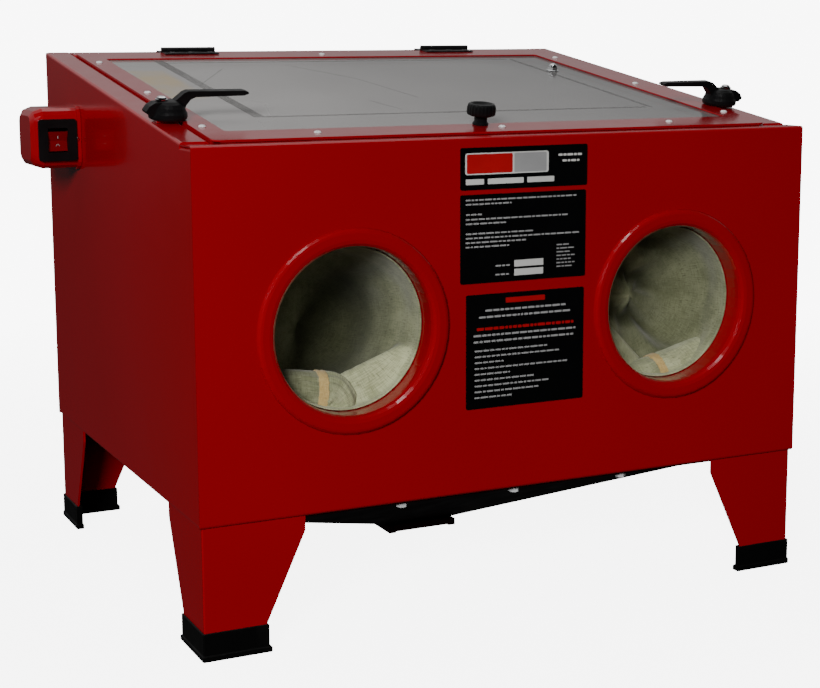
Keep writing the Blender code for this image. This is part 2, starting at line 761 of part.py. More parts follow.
def hinge(name, x):
    """A butt hinge over the gap behind the lid: two outer knuckles on the body, one on the lid."""
    third = HINGE_LENGTH / 3
    bore = PIN_RADIUS + 0.15 * MM
    axis = (HINGE_S, HINGE_H)
    leaf_thick = 1.2 * MM
    # Lid leaf: the middle knuckle, and a plate on top of the lid's back strip.
    barrel = [(HINGE_RADIUS, x - third / 2 + 0.2 * MM), (HINGE_RADIUS, x + third / 2 - 0.2 * MM)]
    lid_leaf = piece(name + "_lid_leaf", turned(barrel, axis, across_slope, 20), "black_steel")
    low = LID_TOP + GAP
    inner = HINGE_S - 1.2 * MM
    plate = rectangle(x - HINGE_LENGTH / 2, x + HINGE_LENGTH / 2, inner - 14 * MM, inner - 2.2 * MM)
    fuse(lid_leaf, prism(plate, low, low + leaf_thick, on_slope))
    tongue = rectangle(x - third / 2 + 0.5 * MM, x + third / 2 - 0.5 * MM, inner - 4 * MM, inner)
    fuse(lid_leaf, prism(tongue, low + 0.1 * MM, low + leaf_thick - 0.1 * MM, on_slope))
    hole = [(bore, x - HINGE_LENGTH), (bore, x + HINGE_LENGTH)]
    cut(lid_leaf, turned(hole, axis, across_slope, 16))
    # Body leaf: a plate on the back flange with a riser under each outer knuckle.
    plate = rectangle(x - HINGE_LENGTH / 2, x + HINGE_LENGTH / 2, HINGE_S + 2 * MM, HINGE_S + 17 * MM)
    body_leaf = piece(
        name + "_body_leaf", prism(plate, GAP, GAP + leaf_thick, on_slope), "black_steel"
    )
    for side in (-1, 1):
        ends = sorted((x + side * (third / 2 + 0.2 * MM), x + side * HINGE_LENGTH / 2 * 0.999))
        riser = rectangle(HINGE_S + 1.3 * MM, HINGE_S + 2.8 * MM, GAP + 0.1 * MM, HINGE_H + 0.2 * MM)
        fuse(body_leaf, prism(riser, ends[0] + 0.1 * MM, ends[1] - 0.1 * MM, across_slope))
        knuckle = [(HINGE_RADIUS, ends[0]), (HINGE_RADIUS, ends[1])]
        fuse(body_leaf, turned(knuckle, axis, across_slope, 20))
    cut(body_leaf, turned(hole, axis, across_slope, 16))
    end = HINGE_LENGTH / 2
    radius = PIN_RADIUS
    pin = [(radius, x - end), (radius, x + end)]
    piece(name + "_pin", turned(pin, axis, across_slope, 16), "black_steel")


# ---------------------------------------------------------------- latches


def latch_place(side):
    """Maps (inboard from the pivot, up the slope, away from it) to the cabinet."""

    def place(inboard, s, h):
        return on_slope(side * (LATCH_X - inboard), LATCH_S + s, h)

    return place


def latch(name, side):
    """A bell-shaped cam handle with a cranked arm, on a spindle with a screw head and a pawl."""
    place = latch_place(side)
    pivot = on_slope(side * LATCH_X, LATCH_S, 0)

    def across(inboard, h, s):
        return place(inboard, s, h)

    bell = [
        (14.2, 2.4),
        (15.7, 3.2),
        (16.2, 5.0),
        (16.0, 7.6),
        (14.9, 9.6),
        (13.9, 12.4),
        (12.2, 15.4),
        (9.6, 17.4),
        (7.6, 17.9),
    ]
    bell = [(r * MM, h * MM) for r, h in bell]
    lever = piece(
        "latch_lever_" + name, turned(bell, (BELL_OFFSET, 0), place, 28), "black_plastic", pivot
    )
    arm = [
        (7, 9),
        (8.8, 16.4),
        (18, 24.2),
        (21.5, 25.6),
        (70, 25.2),
        (73.5, 24.2),
        (74, 22.6),
        (70, 21.2),
        (28, 20.6),
        (23.5, 18.6),
        (19.5, 13.5),
        (18.5, 9),
    ]
    arm = [(u * MM, h * MM) for u, h in arm]
    fuse(lever, prism(arm, -4.6 * MM, 4.6 * MM, across))
    beak = [(-1, 17.2), (-7.4, 16.9), (-12, 14.2), (-14.9, 10.2), (-14.7, 8.6), (-11, 6), (-1, 6.4)]
    beak = [(u * MM, h * MM) for u, h in beak]
    fuse(lever, prism(beak, -7.6 * MM, 4.4 * MM, across))
    bore = SPINDLE_RADIUS + GAP
    cut(lever, turned([(bore, 0), (bore, 30 * MM)], (0, 0), place, 20))
    head = 18.2 * MM
    spindle_profile = [
        (SPINDLE_RADIUS, -4.1 * MM),
        (SPINDLE_RADIUS, head),
        (5.3 * MM, head),
        (5.3 * MM, head + 0.8 * MM),
        (4.2 * MM, head + 0.9 * MM),
        (4.0 * MM, head + 2.2 * MM),
        (2.6 * MM, head + 3.1 * MM),
    ]
    spindle = piece(
        "latch_spindle_" + name, turned(spindle_profile, (0, 0), place, 20), "chrome", pivot
    )
    pawl = rectangle(-3.4 * MM, 9.8 * MM, -3.2 * MM, 3.2 * MM)
    fuse(spindle, prism(pawl, -4.0 * MM, -2.1 * MM, place))


# ---------------------------------------------------------------- switch box


def switch_box():
    low, high = SWITCH_LOW, SWITCH_HIGH
    wall = 2 * MM

    def shell(grow, radius, x0, x1):
        """A block rounded along its three outer edges, run in from its outer face."""
        loops = []
        for shift, inset in ((0, radius * 0.7), (radius * 0.3, radius * 0.25), (radius, 0)):
            out = grow - inset
            sides = (low.y - out, high.y + out, low.z - out, high.z + out)
            outline = rounded_rectangle(*sides, radius - inset * 0.4, 4)
            loops.append([Vector((x0 + shift, y, z)) for y, z in outline])
        loops.append([Vector((x1, y, z)) for y, z in outline])
        return loft(loops)

    box = piece("switch_box", shell(0, 11 * MM, low.x, high.x), "red_paint")
    rim = rounded_rectangle(
        low.y - 1.6 * MM, high.y + 1.6 * MM, low.z - 1.6 * MM, high.z + 1.6 * MM, 12 * MM
    )
    fuse(box, prism(rim, high.x - 3.2 * MM, high.x, along_x))
    cut(box, shell(-wall, 9.5 * MM, low.x + wall, high.x + 5 * MM))
    x, z = switch_centre()
    gland_hole = [(7.1 * MM, high.y - 7.3 * MM), (7.1 * MM, high.y + 6 * MM)]
    cut(box, turned(gland_hole, (x + 2 * MM, z), along_y, 18))
    opening = rectangle(x - 14.6 * MM, x + 14.6 * MM, z - 16 * MM, z + 16 * MM)
    cut(box, prism(opening, low.y - 5 * MM, low.y + 8 * MM, along_y))


def switch_centre():
    return SWITCH_LOW.x + 23.5 * MM, (SWITCH_LOW.z + SWITCH_HIGH.z) / 2 - 1.5 * MM


def switch_parts():
    x, z = switch_centre()
    face = SWITCH_LOW.y
    hole = rounded_rectangle(x - 9.4 * MM, x + 9.4 * MM, z - 11.3 * MM, z + 11.3 * MM, 1 * MM)
    flange = rounded_rectangle(x - 18 * MM, x + 18 * MM, z - 19.5 * MM, z + 19.5 * MM, 3 * MM)
    body = rounded_rectangle(x - 14 * MM, x + 14 * MM, z - 15.4 * MM, z + 15.4 * MM, 1 * MM)
    loops = []
    for outline, y in (
        (flange, face - GAP),
        (flange, face - 3 * MM),
        (hole, face - 3.4 * MM),
        (hole, face + 14 * MM),
        (body, face + 14 * MM),
        (body, face - GAP),
    ):
        loops.append([Vector((u, y, v)) for u, v in outline])
    piece("switch_bezel", loft(loops, closed=True), "black_plastic")

    # The rocker, tipped so that its lower half is pressed in.
    pivot = Vector((x, face + 6 * MM, z))
    half = 9.1 * MM
    outline = [
        (-8.2 * MM, -9.2 * MM),
        (-5.6 * MM, 0),
        (-8.2 * MM, 9.2 * MM),
        (4 * MM, 6.5 * MM),
        (5.5 * MM, 0),
        (4 * MM, -6.5 * MM),
    ]
    tipped = []
    for y, v in outline:
        ty = y * math.cos(ROCKER_TILT) - v * math.sin(ROCKER_TILT)
        tz = y * math.sin(ROCKER_TILT) + v * math.cos(ROCKER_TILT)
        tipped.append((pivot.y + ty, pivot.z + tz))
    rocker = prism(tipped, x - half, x + half, along_x)
    piece("switch_rocker", rocker, "red_lens", pivot)

    gland = [
        (6.5, -1.7 - 8),
        (6.5, 0.3),
        (9.5, 0.3),
        (9.5, 5.0),
        (8.0, 6.5),
        (8.0, 12.0),
        (5.5, 15.5),
    ]
    gland = [(r * MM, SWITCH_HIGH.y + y * MM) for r, y in gland]
    piece("cable_gland", turned(gland, (x + 2 * MM, z), along_y, 18), "black_plastic")


# ---------------------------------------------------------------- inside the cabinet


def work_grate():
    """A punched plate that the work stands on and the media falls through."""
    x, y = 280 * MM, 220 * MM
    low = BODY_BOTTOM + SHEET + GAP
    columns, rows, bar = 10, 8, 8 * MM
    pitch_x, pitch_y = (2 * x - bar) / columns, (2 * y - bar) / rows
    xs, ys = [], []
    for edges, start, pitch, count in ((xs, -x, pitch_x, columns), (ys, -y, pitch_y, rows)):
        for i in range(count + 1):
            edges += [start + i * pitch, start + i * pitch + bar]
    bm = bmesh.new()
    grid = [[bm.verts.new((u, v, GRATE_TOP)) for v in ys] for u in xs]
    for i in range(len(xs) - 1):
        for j in range(len(ys) - 1):
            if i % 2 and j % 2:
                continue
            bm.faces.new((grid[i][j], grid[i + 1][j], grid[i + 1][j + 1], grid[i][j + 1]))
    faces = bmesh.ops.extrude_face_region(bm, geom=bm.faces[:])["geom"]
    moved = [v for v in faces if isinstance(v, bmesh.types.BMVert)]
    bmesh.ops.translate(bm, verts=moved, vec=(0, 0, low - GRATE_TOP))
    piece("work_grate", bm, "steel")


def lamp():
    """A strip lamp on the left wall, below the window."""
    wall = -HALF + SHEET + GAP
    low = (wall, -10 * MM, 398 * MM)
    high = (wall + 22 * MM, 150 * MM, 426 * MM)
    piece("lamp_housing", block(low, high), "aluminium")
    front = high[0] + GAP
    outline = rounded_rectangle(low[1] + 4 * MM, high[1] - 4 * MM, low[2] + 3 * MM, high[2] - 3 * MM, 4 * MM)
    piece("lamp_lens", prism(outline, front, front + 6 * MM, along_x), "lamp_cover")


def air_inlet():
    """A bulkhead coupling through the right wall, with a plug outside and a hose tail inside."""
    inside = HALF - SHEET - GAP
    outside = HALF + GAP
    profile = [
        (4.0 * MM, HALF + INLET_REACH),
        (5.6 * MM, HALF + INLET_REACH - 1.5 * MM),
        (5.6 * MM, HALF + 16 * MM),
        (4.4 * MM, HALF + 15 * MM),
        (4.4 * MM, HALF + 11 * MM),
        (6.5 * MM, HALF + 10 * MM),
        (10.5 * MM, HALF + 8 * MM),
        (10.5 * MM, outside),
        (6.7 * MM, outside),
        (6.7 * MM, inside),
        (10.5 * MM, inside),
        (10.5 * MM, inside - 6 * MM),
        (5.0 * MM, inside - 8 * MM),
        (5.0 * MM, inside - 14 * MM),
    ]
    piece("air_inlet_fitting", turned(profile, (INLET_Y, INLET_Z), along_x, 20), "brass")


def gun():
    """The blasting gun on its hanger: barrel along y, handle down, trigger in front of it."""
    barrel = [
        (7.5, -36),
        (9.5, -34),
        (11.5, -26),
        (11.5, 30),
        (8.0, 34),
        (5.2, 36),
        (5.2, 50),
    ]
    barrel = [(r * MM, GUN_Y + y * MM) for r, y in barrel]
    body = piece("gun_body", turned(barrel, (GUN_X, GUN_Z), along_y, 20), "aluminium")
    grip = [
        (GUN_Y - 4 * MM, GUN_Z - 6 * MM),
        (GUN_Y + 22 * MM, GUN_Z - 6 * MM),
        (GUN_Y + 30 * MM, GUN_Z - 76 * MM),
        (GUN_Y + 6 * MM, GUN_Z - 78 * MM),
    ]
    fuse(body, prism(grip, GUN_X - 8 * MM, GUN_X + 8 * MM, along_x))
    tail_centre = (GUN_X, GUN_Y + 18 * MM)
    tail = [(5 * MM, GUN_Z - 92 * MM), (5 * MM, GUN_Z - 70 * MM)]
    fuse(body, turned(tail, tail_centre, along_z, 14))
    tip = GUN_Y - 36 * MM - GAP
    nozzle = [(3.2, 0), (7.2, 0), (7.2, -6), (5.5, -10), (5.5, -34), (3.2, -34)]
    nozzle = [(r * MM, tip + y * MM) for r, y in nozzle]
    piece("gun_nozzle", turned(nozzle, (GUN_X, GUN_Z), along_y, 18, closed=True), "ceramic")

    pivot = Vector((GUN_X, GUN_Y - 16 * MM, GUN_Z - 15.5 * MM))
    lever = [
        (pivot.y - 3 * MM, pivot.z + 3 * MM),
        (pivot.y - 4 * MM, pivot.z - 4 * MM),
        (pivot.y - 5 * MM, pivot.z - 38 * MM),
        (pivot.y - 1 * MM, pivot.z - 39 * MM),
        (pivot.y + 2.5 * MM, pivot.z - 4 * MM),
        (pivot.y + 3 * MM, pivot.z + 3 * MM),
    ]
    trigger = prism(lever, GUN_X - 5 * MM, GUN_X + 5 * MM, along_x)
    piece("gun_trigger", trigger, "black_plastic", pivot)

    # The hanger: a bent strip on the wall that cradles the barrel from below.
    wall = HALF - SHEET - GAP
    r_in, r_out = 12.1 * MM, 14.1 * MM
    inner, outer = [], []
    for i in range(9):
        a = math.radians(180 + 180 * i / 8)
        inner.append((GUN_X + r_in * math.cos(a), GUN_Z + r_in * math.sin(a)))
        outer.append((GUN_X + r_out * math.cos(a), GUN_Z + r_out * math.sin(a)))
    tab = [
        (GUN_X + r_in, GUN_Z + 14 * MM),
        (wall, GUN_Z + 14 * MM),
        (wall, GUN_Z - 12 * MM),
        (wall - 2 * MM, GUN_Z - 12 * MM),
        (wall - 2 * MM, GUN_Z + 12 * MM),
        (GUN_X + r_out, GUN_Z + 12 * MM),
    ]
    outline = inner + tab + outer[::-1]
    hanger = prism(outline, GUN_Y + 24 * MM, GUN_Y + 29.5 * MM, along_y)
    piece("gun_hanger", hanger, "steel")


def pickup_tube():
    """A steel tube from the hopper's bottom, up its slope and through the grate."""
    knots = [
        Vector((44, 36, 46)) * MM,
        Vector((110, 86, 74)) * MM,
        Vector((170, 131, 98)) * MM,
        Vector((198, 151, 114)) * MM,
        Vector((PICKUP_X, PICKUP_Y, 140 * MM)),
        Vector((PICKUP_X, PICKUP_Y, 165 * MM)),
    ]
    route = smooth_route(knots, 22)
    piece("pickup_tube", tube(route, [5.5 * MM] * len(route), 10), "steel")


# ---------------------------------------------------------------- outside fittings


def vent():
    """The exhaust cap on the back, with a filter pad behind it."""
    face = BACK + GAP
    end = BACK + VENT_REACH
    profile = [
        (46, face),
        (46, face + 2 * MM),
        (41, face + 2.5 * MM),
        (40, end - 2 * MM),
        (38, end),
        (36, end - 1.5 * MM),
        (37, face),
    ]
    profile = [(r * MM, y) for r, y in profile]
    cap = piece("exhaust_cover", turned(profile, (VENT_X, VENT_Z), along_y, 32, closed=True), "black_plastic")
    for i in range(-3, 4):
        z = VENT_Z + i * 9.5 * MM
        half = math.sqrt(38.5**2 - (i * 9.5) ** 2) * MM
        low = (VENT_X - half, end - 3 * MM, z - 2.2 * MM)
        high = (VENT_X + half, end - 1 * MM, z + 2.2 * MM)
        fuse(cap, block(low, high))
    pad = [(31 * MM, BACK - SHEET - 6 * MM), (31 * MM, face + 4 * MM)]
    piece("exhaust_filter", turned(pad, (VENT_X, VENT_Z), along_y, 28), "filter")


def labels():
    """Three plates between the arm ports."""
    thick = 0.4 * MM
    face = FRONT - GAP
    for name, box in (
        ("label_top", (-60, 61.5, 368.2, 403.1)),
        ("label_middle", (-60, 60.5, 290, 364.3)),
        ("label_bottom", (-54.5, 59.5, 183, 280.5)),
    ):
        outline = rounded_rectangle(*[v * MM for v in box], 1.5 * MM, 2)
        piece(name, prism(outline, face - thick, face, along_y), "label")


# ---------------------------------------------------------------- the whole cabinet

front_panel()
side_panel("left_side_panel", -1)
right_wall = side_panel("right_side_panel", 1)
inlet_hole = [(7 * MM, HALF - 10 * MM), (7 * MM, HALF + 10 * MM)]
cut(right_wall, turned(inlet_hole, (INLET_Y, INLET_Z), along_x, 20))
back_panel()
seal_landing_frame()
hopper()
hopper_gate()
work_grate()
for word, sign in (("left", -1), ("right", 1)):
    gate_rail("gate_rail_" + word, sign)
    arm_port("arm_port_" + word, sign * PORT_X)
    glove_clamp("glove_clamp_" + word, sign * PORT_X)
    gauntlet("gauntlet_" + word, sign * PORT_X)
    hinge("hinge_" + word, sign * HINGE_X)
    latch(word, sign)
    for end_word, end_sign in (("front", -1), ("back", 1)):
        leg(f"leg_{end_word}_{word}", sign, end_sign)
        foot(f"foot_{end_word}_{word}", sign, end_sign)
elastic_band("elastic_band_left", -PORT_X, 5)
elastic_band("elastic_band_right", PORT_X, 7)
lid_frame()
window_parts()
lid_knob()
switch_box()
switch_parts()
lamp()
air_inlet()
gun()
pickup_tube()
vent()
labels()
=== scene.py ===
"""The looks of the sandblast cabinet: materials, fixings, printed plates, gauntlets and studio."""

import json
import math
import random

import bmesh
import bpy
from mathutils import Matrix, Vector, noise


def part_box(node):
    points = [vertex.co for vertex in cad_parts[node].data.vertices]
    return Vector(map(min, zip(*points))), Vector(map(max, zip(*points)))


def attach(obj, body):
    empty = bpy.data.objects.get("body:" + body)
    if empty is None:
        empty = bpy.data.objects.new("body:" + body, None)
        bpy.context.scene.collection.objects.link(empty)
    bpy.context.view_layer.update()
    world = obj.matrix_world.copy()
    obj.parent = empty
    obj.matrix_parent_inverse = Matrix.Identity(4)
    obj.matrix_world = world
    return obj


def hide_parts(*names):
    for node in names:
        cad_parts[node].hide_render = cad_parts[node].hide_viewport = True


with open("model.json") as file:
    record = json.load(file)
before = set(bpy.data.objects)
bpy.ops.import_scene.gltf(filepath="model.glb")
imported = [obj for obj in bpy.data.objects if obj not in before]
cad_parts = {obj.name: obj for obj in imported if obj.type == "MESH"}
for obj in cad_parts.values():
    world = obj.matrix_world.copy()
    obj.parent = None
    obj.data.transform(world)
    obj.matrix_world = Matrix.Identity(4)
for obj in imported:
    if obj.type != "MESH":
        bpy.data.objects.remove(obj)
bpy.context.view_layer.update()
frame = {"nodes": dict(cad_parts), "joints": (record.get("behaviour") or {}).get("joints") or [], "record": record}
NODES = frame["nodes"]
MM = 0.001
BACKDROP = (1.0, 1.0, 1.0)
BACKDROP_LEVEL = 8.5
PAINTED_SHADE_LAYER = "painted_shade"  # the cloth's vertex layer of painted shade: 0 where it is unshaded, 1 where painted shade darkens it most

# ------------------------------------------------------------------ places read from the frame

FACE_LOW, FACE_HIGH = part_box("front_panel")
MIDDLE = (FACE_LOW.x + FACE_HIGH.x) / 2
FRONT = FACE_LOW.y
HALF = (FACE_HIGH.x - FACE_LOW.x) / 2
JOINTS = {joint["name"]: joint for joint in frame["joints"]}

# The slope the lid lies on: x across, s up the slope, h away from it. The latch turns about
# its normal, 80 mm up the slope.
LATCH_S = 80 * MM
PIVOT_LEFT = Vector(JOINTS["latch_left_turn"]["pos_m"])
PIVOT_RIGHT = Vector(JOINTS["latch_right_turn"]["pos_m"])
NORMAL = Vector(JOINTS["latch_left_turn"]["axis"]).normalized()
ACROSS = Vector((1, 0, 0))
UPWARD = NORMAL.cross(ACROSS)
SLOPE_ORIGIN = (PIVOT_LEFT + PIVOT_RIGHT) / 2 - UPWARD * LATCH_S
LID_TOP = 2 * MM
PANE_TOP = 0.2 * MM


def slope_matrix(x, s, h):
    """A frame on the slope, with its z axis along the slope's normal."""
    turn = Matrix((ACROSS, UPWARD, NORMAL)).transposed().to_4x4()
    place = SLOPE_ORIGIN + ACROSS * x + UPWARD * s + NORMAL * h
    return Matrix.Translation(place) @ turn


def centre_of(node):
    """The middle of a node's box."""
    low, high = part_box(node)
    return (low + high) / 2


# ------------------------------------------------------------------ camera, floor and lights


CAMERA_PLACE = (-0.6675, -1.42985, 0.4913)
CAMERA_TURNS = (0.43806, 0.15456, -0.00527)  # yaw, pitch and roll


def make_camera():
    """The view from the front left, a little above the lid."""
    yaw, pitch, roll = CAMERA_TURNS
    data = bpy.data.cameras.new("camera")
    data.lens = 71.91
    data.sensor_width = 36.0
    data.shift_x = 0.0149
    data.shift_y = -0.0602
    camera = bpy.data.objects.new("camera", data)
    bpy.context.scene.collection.objects.link(camera)
    turn = Matrix.Rotation(-yaw, 4, "Z") @ Matrix.Rotation(math.pi / 2 - pitch, 4, "X")
    turn = turn @ Matrix.Rotation(roll, 4, "Z")
    camera.matrix_world = Matrix.Translation(CAMERA_PLACE) @ turn
    bpy.context.scene.camera = camera


def make_world():
    """A pale backdrop to the eye; as light, bright behind and above, and dark in front."""
    world = bpy.data.worlds.new("studio")
    world.use_nodes = True
    tree = world.node_tree
    seen = tree.nodes["Background"]
    seen.inputs["Color"].default_value = (*BACKDROP, 1)
    seen.inputs["Strength"].default_value = BACKDROP_LEVEL

    def mapped(value, low, high, dark, light):
        made = tree.nodes.new("ShaderNodeMapRange")
        made.interpolation_type = "SMOOTHSTEP"
        numbers = {"From Min": low, "From Max": high, "To Min": dark, "To Max": light}
        for key, number in numbers.items():
            made.inputs[key].default_value = number
        tree.links.new(value, made.inputs["Value"])
        return made.outputs[0]

    ray = tree.nodes.new("ShaderNodeTexCoord").outputs["Generated"]
    split = tree.nodes.new("ShaderNodeSeparateXYZ")
    tree.links.new(ray, split.inputs[0])
    # The light grows from 5% below to full overhead, and from 3% in front to full behind.
    height = mapped(split.outputs["Z"], -0.12, 0.5, 0.05, 1.0)
    behind = mapped(split.outputs["Y"], -0.35, 0.5, 0.03, 1.0)
    product = tree.nodes.new("ShaderNodeMath")
    product.operation = "MULTIPLY"
    tree.links.new(height, product.inputs[0])
    tree.links.new(behind, product.inputs[1])
    shed = tree.nodes.new("ShaderNodeBackground")
    tree.links.new(product.outputs[0], shed.inputs["Color"])
    shed.inputs["Strength"].default_value = 0.55
    choice = tree.nodes.new("ShaderNodeMixShader")
    path = tree.nodes.new("ShaderNodeLightPath")
    tree.links.new(path.outputs["Is Camera Ray"], choice.inputs[0])
    tree.links.new(shed.outputs[0], choice.inputs[1])
    tree.links.new(seen.outputs[0], choice.inputs[2])
    tree.links.new(choice.outputs[0], tree.nodes["World Output"].inputs["Surface"])
    bpy.context.scene.world = world


def make_light(name, place, aim, size, power, diffuse=True, glossy=True):
    """An area light, which may light only matt surfaces or show only in glossy ones."""
    data = bpy.data.lights.new(name, "AREA")
    data.shape = "RECTANGLE"
    data.size, data.size_y = size
    data.energy = power
    light = bpy.data.objects.new(name, data)
    bpy.context.scene.collection.objects.link(light)
    light.location = place
    light.rotation_euler = (Vector(aim) - Vector(place)).to_track_quat("-Z", "Y").to_euler()
    light.visible_diffuse = diffuse
    light.visible_glossy = glossy


def make_floor():
    """A pale floor that fades into the backdrop and throws no light back on the cabinet."""
    bm = bmesh.new()
    size = 3.2
    bm.faces.new([bm.verts.new((x, y, 0)) for x, y in rectangle(0, 0, size, size)])
    floor = mesh_object("floor", bm)
    paint = Paint("floor_pale").set(base=(0.8, 0.8, 0.8), rough=0.9, spec=0.0)
    paint.shader.inputs["Emission Color"].default_value = (*BACKDROP, 1)
    paint.shader.inputs["Emission Strength"].default_value = 0.72 * BACKDROP_LEVEL
    away = paint.node("VectorMath", Vector=paint.place)
    away.operation = "LENGTH"
    paint.link("Alpha", paint.grey(away.outputs["Value"], 0.45, 1.5, 1.0, 0.0))
    floor.data.materials.append(paint.material)
    floor.visible_diffuse = False
    floor.visible_glossy = False


# ------------------------------------------------------------------ materials


class Paint:
    """A Principled material with short calls for its procedural parts."""

    def __init__(self, name):
        self.material = bpy.data.materials.new(name)
        self.material.use_nodes = True
        self.tree = self.material.node_tree
        self.shader = self.tree.nodes["Principled BSDF"]
        self.place = self.tree.nodes.new("ShaderNodeTexCoord").outputs["Object"]

    def set(self, base=None, rough=None, metal=None, spec=None, coat=None, sheen=None):
        values = {
            "Roughness": rough,
            "Metallic": metal,
            "Specular IOR Level": spec,
            "Coat Weight": coat,
            "Sheen Weight": sheen,
        }
        for key, value in values.items():
            if value is not None:
                self.shader.inputs[key].default_value = value
        if base is not None:
            self.shader.inputs["Base Color"].default_value = (*base, 1)
        return self

    def node(self, kind, **inputs):
        made = self.tree.nodes.new("ShaderNode" + kind)
        for key, value in inputs.items():
            socket = made.inputs[key.replace("_", " ")]
            if isinstance(value, bpy.types.NodeSocket):
                self.tree.links.new(value, socket)
            else:
                socket.default_value = value
        return made

    def noise(self, scale, detail=3.0, stretch=None, roughness=0.5):
        where = self.place
        if stretch is not None:
            where = self.node("Mapping", Vector=where, Scale=stretch).outputs[0]
        made = self.node("TexNoise", Vector=where, Scale=scale, Detail=detail, Roughness=roughness)
        return made.outputs["Fac"]

    def ramp(self, value, stops):
        made = self.node("ValToRGB", Fac=value)
        points = made.color_ramp.elements
        while len(points) < len(stops):
            points.new(0.5)
        for point, (where, colour) in zip(points, stops):
            point.position = where
            point.color = (*colour, 1)
        return made.outputs["Color"]

    def grey(self, value, low, high, dark, light):
        """Maps a texture's values from low..high to dark..light."""
        made = self.node("MapRange", Value=value)
        for key, number in zip(("From Min", "From Max", "To Min", "To Max"), (low, high, dark, light)):
            made.inputs[key].default_value = number
        return made.outputs[0]

    def mix(self, factor, a, b, kind="MIX"):
        made = self.tree.nodes.new("ShaderNodeMix")
        made.data_type = "RGBA"
        made.blend_type = kind
        for socket, value in ((made.inputs[0], factor), (made.inputs[6], a), (made.inputs[7], b)):
            if isinstance(value, bpy.types.NodeSocket):
                self.tree.links.new(value, socket)
            elif socket == made.inputs[0]:
                socket.default_value = value
            else:
                socket.default_value = (*value, 1)
        return made.outputs[2]

    def link(self, key, value):
        self.tree.links.new(value, self.shader.inputs[key])
        return self

    def bump(self, height, strength, distance):
        before = self.shader.inputs["Normal"].links
        made = self.node("Bump", Height=height, Strength=strength, Distance=distance)
        if before:
            self.tree.links.new(before[0].from_socket, made.inputs["Normal"])
        self.tree.links.new(made.outputs[0], self.shader.inputs["Normal"])
        return self


def red_paint(name="red_powder_coat"):
    """Glossy red powder coat with fine orange peel, faint tonal drift and a few scuffs."""
    p = Paint(name).set(rough=0.2, spec=0.45, coat=0.2)
    p.shader.inputs["Coat Roughness"].default_value = 0.05
    drift = p.noise(3.0, 2.0)
    base = p.ramp(drift, ((0.3, (0.232, 0.0004, 0.0042)), (0.7, (0.258, 0.0006, 0.0055))))
    scuffs = p.grey(p.noise(90.0, 6.0, (1.0, 1.0, 5.0), 0.7), 0.7, 0.8, 0.0, 0.25)
    p.link("Base Color", p.mix(scuffs, base, (0.33, 0.012, 0.010)))
    p.link("Roughness", p.grey(p.noise(40.0, 5.0), 0.3, 0.75, 0.15, 0.24))
    p.bump(p.noise(650.0, 2.0), 0.06, 0.0002)
    return p.material


def moulded_black(name="black_plastic"):
    """Black moulding with a fine grain."""
    p = Paint(name).set(spec=0.18)
    shades = ((0.3, (0.0028, 0.0028, 0.0030)), (0.8, (0.0055, 0.0055, 0.0058)))
    p.link("Base Color", p.ramp(p.noise(30.0), shades))
    p.link("Roughness", p.grey(p.noise(90.0), 0.3, 0.7, 0.34, 0.52))
    p.bump(p.noise(1500.0, 2.0), 0.25, 0.0002)
    return p.material


def rubber(name="rubber_boot"):
    """Matt black rubber with some dust on it."""
    p = Paint(name).set(spec=0.22)
    dust = p.grey(p.noise(45.0, 6.0), 0.5, 0.75, 0.0, 0.35)
    p.link("Base Color", p.mix(dust, (0.0022, 0.0022, 0.0022), (0.009, 0.0085, 0.008)))
    p.link("Roughness", p.grey(p.noise(70.0), 0.3, 0.7, 0.42, 0.62))
    p.bump(p.noise(900.0, 3.0), 0.35, 0.0003)
    return p.material


def black_steel(name="black_steel"):
    """Black enamel on steel, uneven in its gloss."""
    p = Paint(name).set(spec=0.5, coat=0.2)
    shades = ((0.35, (0.003, 0.003, 0.0033)), (0.8, (0.008, 0.008, 0.0085)))
    p.link("Base Color", p.ramp(p.noise(60.0), shades))
    p.link("Roughness", p.grey(p.noise(150.0), 0.3, 0.7, 0.28, 0.45))
    p.bump(p.noise(700.0, 2.0), 0.2, 0.0002)
    return p.material


def dark_paint(name="dark_brown_paint"):
    """Thin dark paint over steel, with red oxide showing faintly through."""
    p = Paint(name).set(spec=0.1)
    shades = ((0.3, (0.0065, 0.0008, 0.0008)), (0.75, (0.017, 0.0014, 0.0014)))
    p.link("Base Color", p.ramp(p.noise(9.0, 5.0), shades))
    p.link("Roughness", p.grey(p.noise(35.0), 0.3, 0.7, 0.38, 0.55))
    p.bump(p.noise(300.0, 3.0), 0.2, 0.0003)
    return p.material


def bare_metal(name, colour, rough, grain=(1.0, 1.0, 1.0), metal=1.0):
    """Bare metal with a drawn or cast grain, or duller plating where metal is below 1."""
    p = Paint(name).set(metal=metal)
    shade = p.noise(80.0, 4.0, grain)
    darker = tuple(0.75 * c for c in colour)
    p.link("Base Color", p.ramp(shade, ((0.3, darker), (0.7, colour))))
    p.link("Roughness", p.grey(p.noise(260.0, 3.0, grain), 0.3, 0.7, rough * 0.7, rough * 1.3))
    p.bump(p.noise(600.0, 3.0, grain), 0.15, 0.0002)
    return p.material


def within(p, value, low, high, soft=0.004):
    """1 where the value lies between low and high, 0 outside them, with soft borders."""
    above = p.grey(value, low - soft, low + soft, 0.0, 1.0)
    below = p.grey(value, high - soft, high + soft, 1.0, 0.0)
    return p.mix(1.0, above, below, "MULTIPLY")


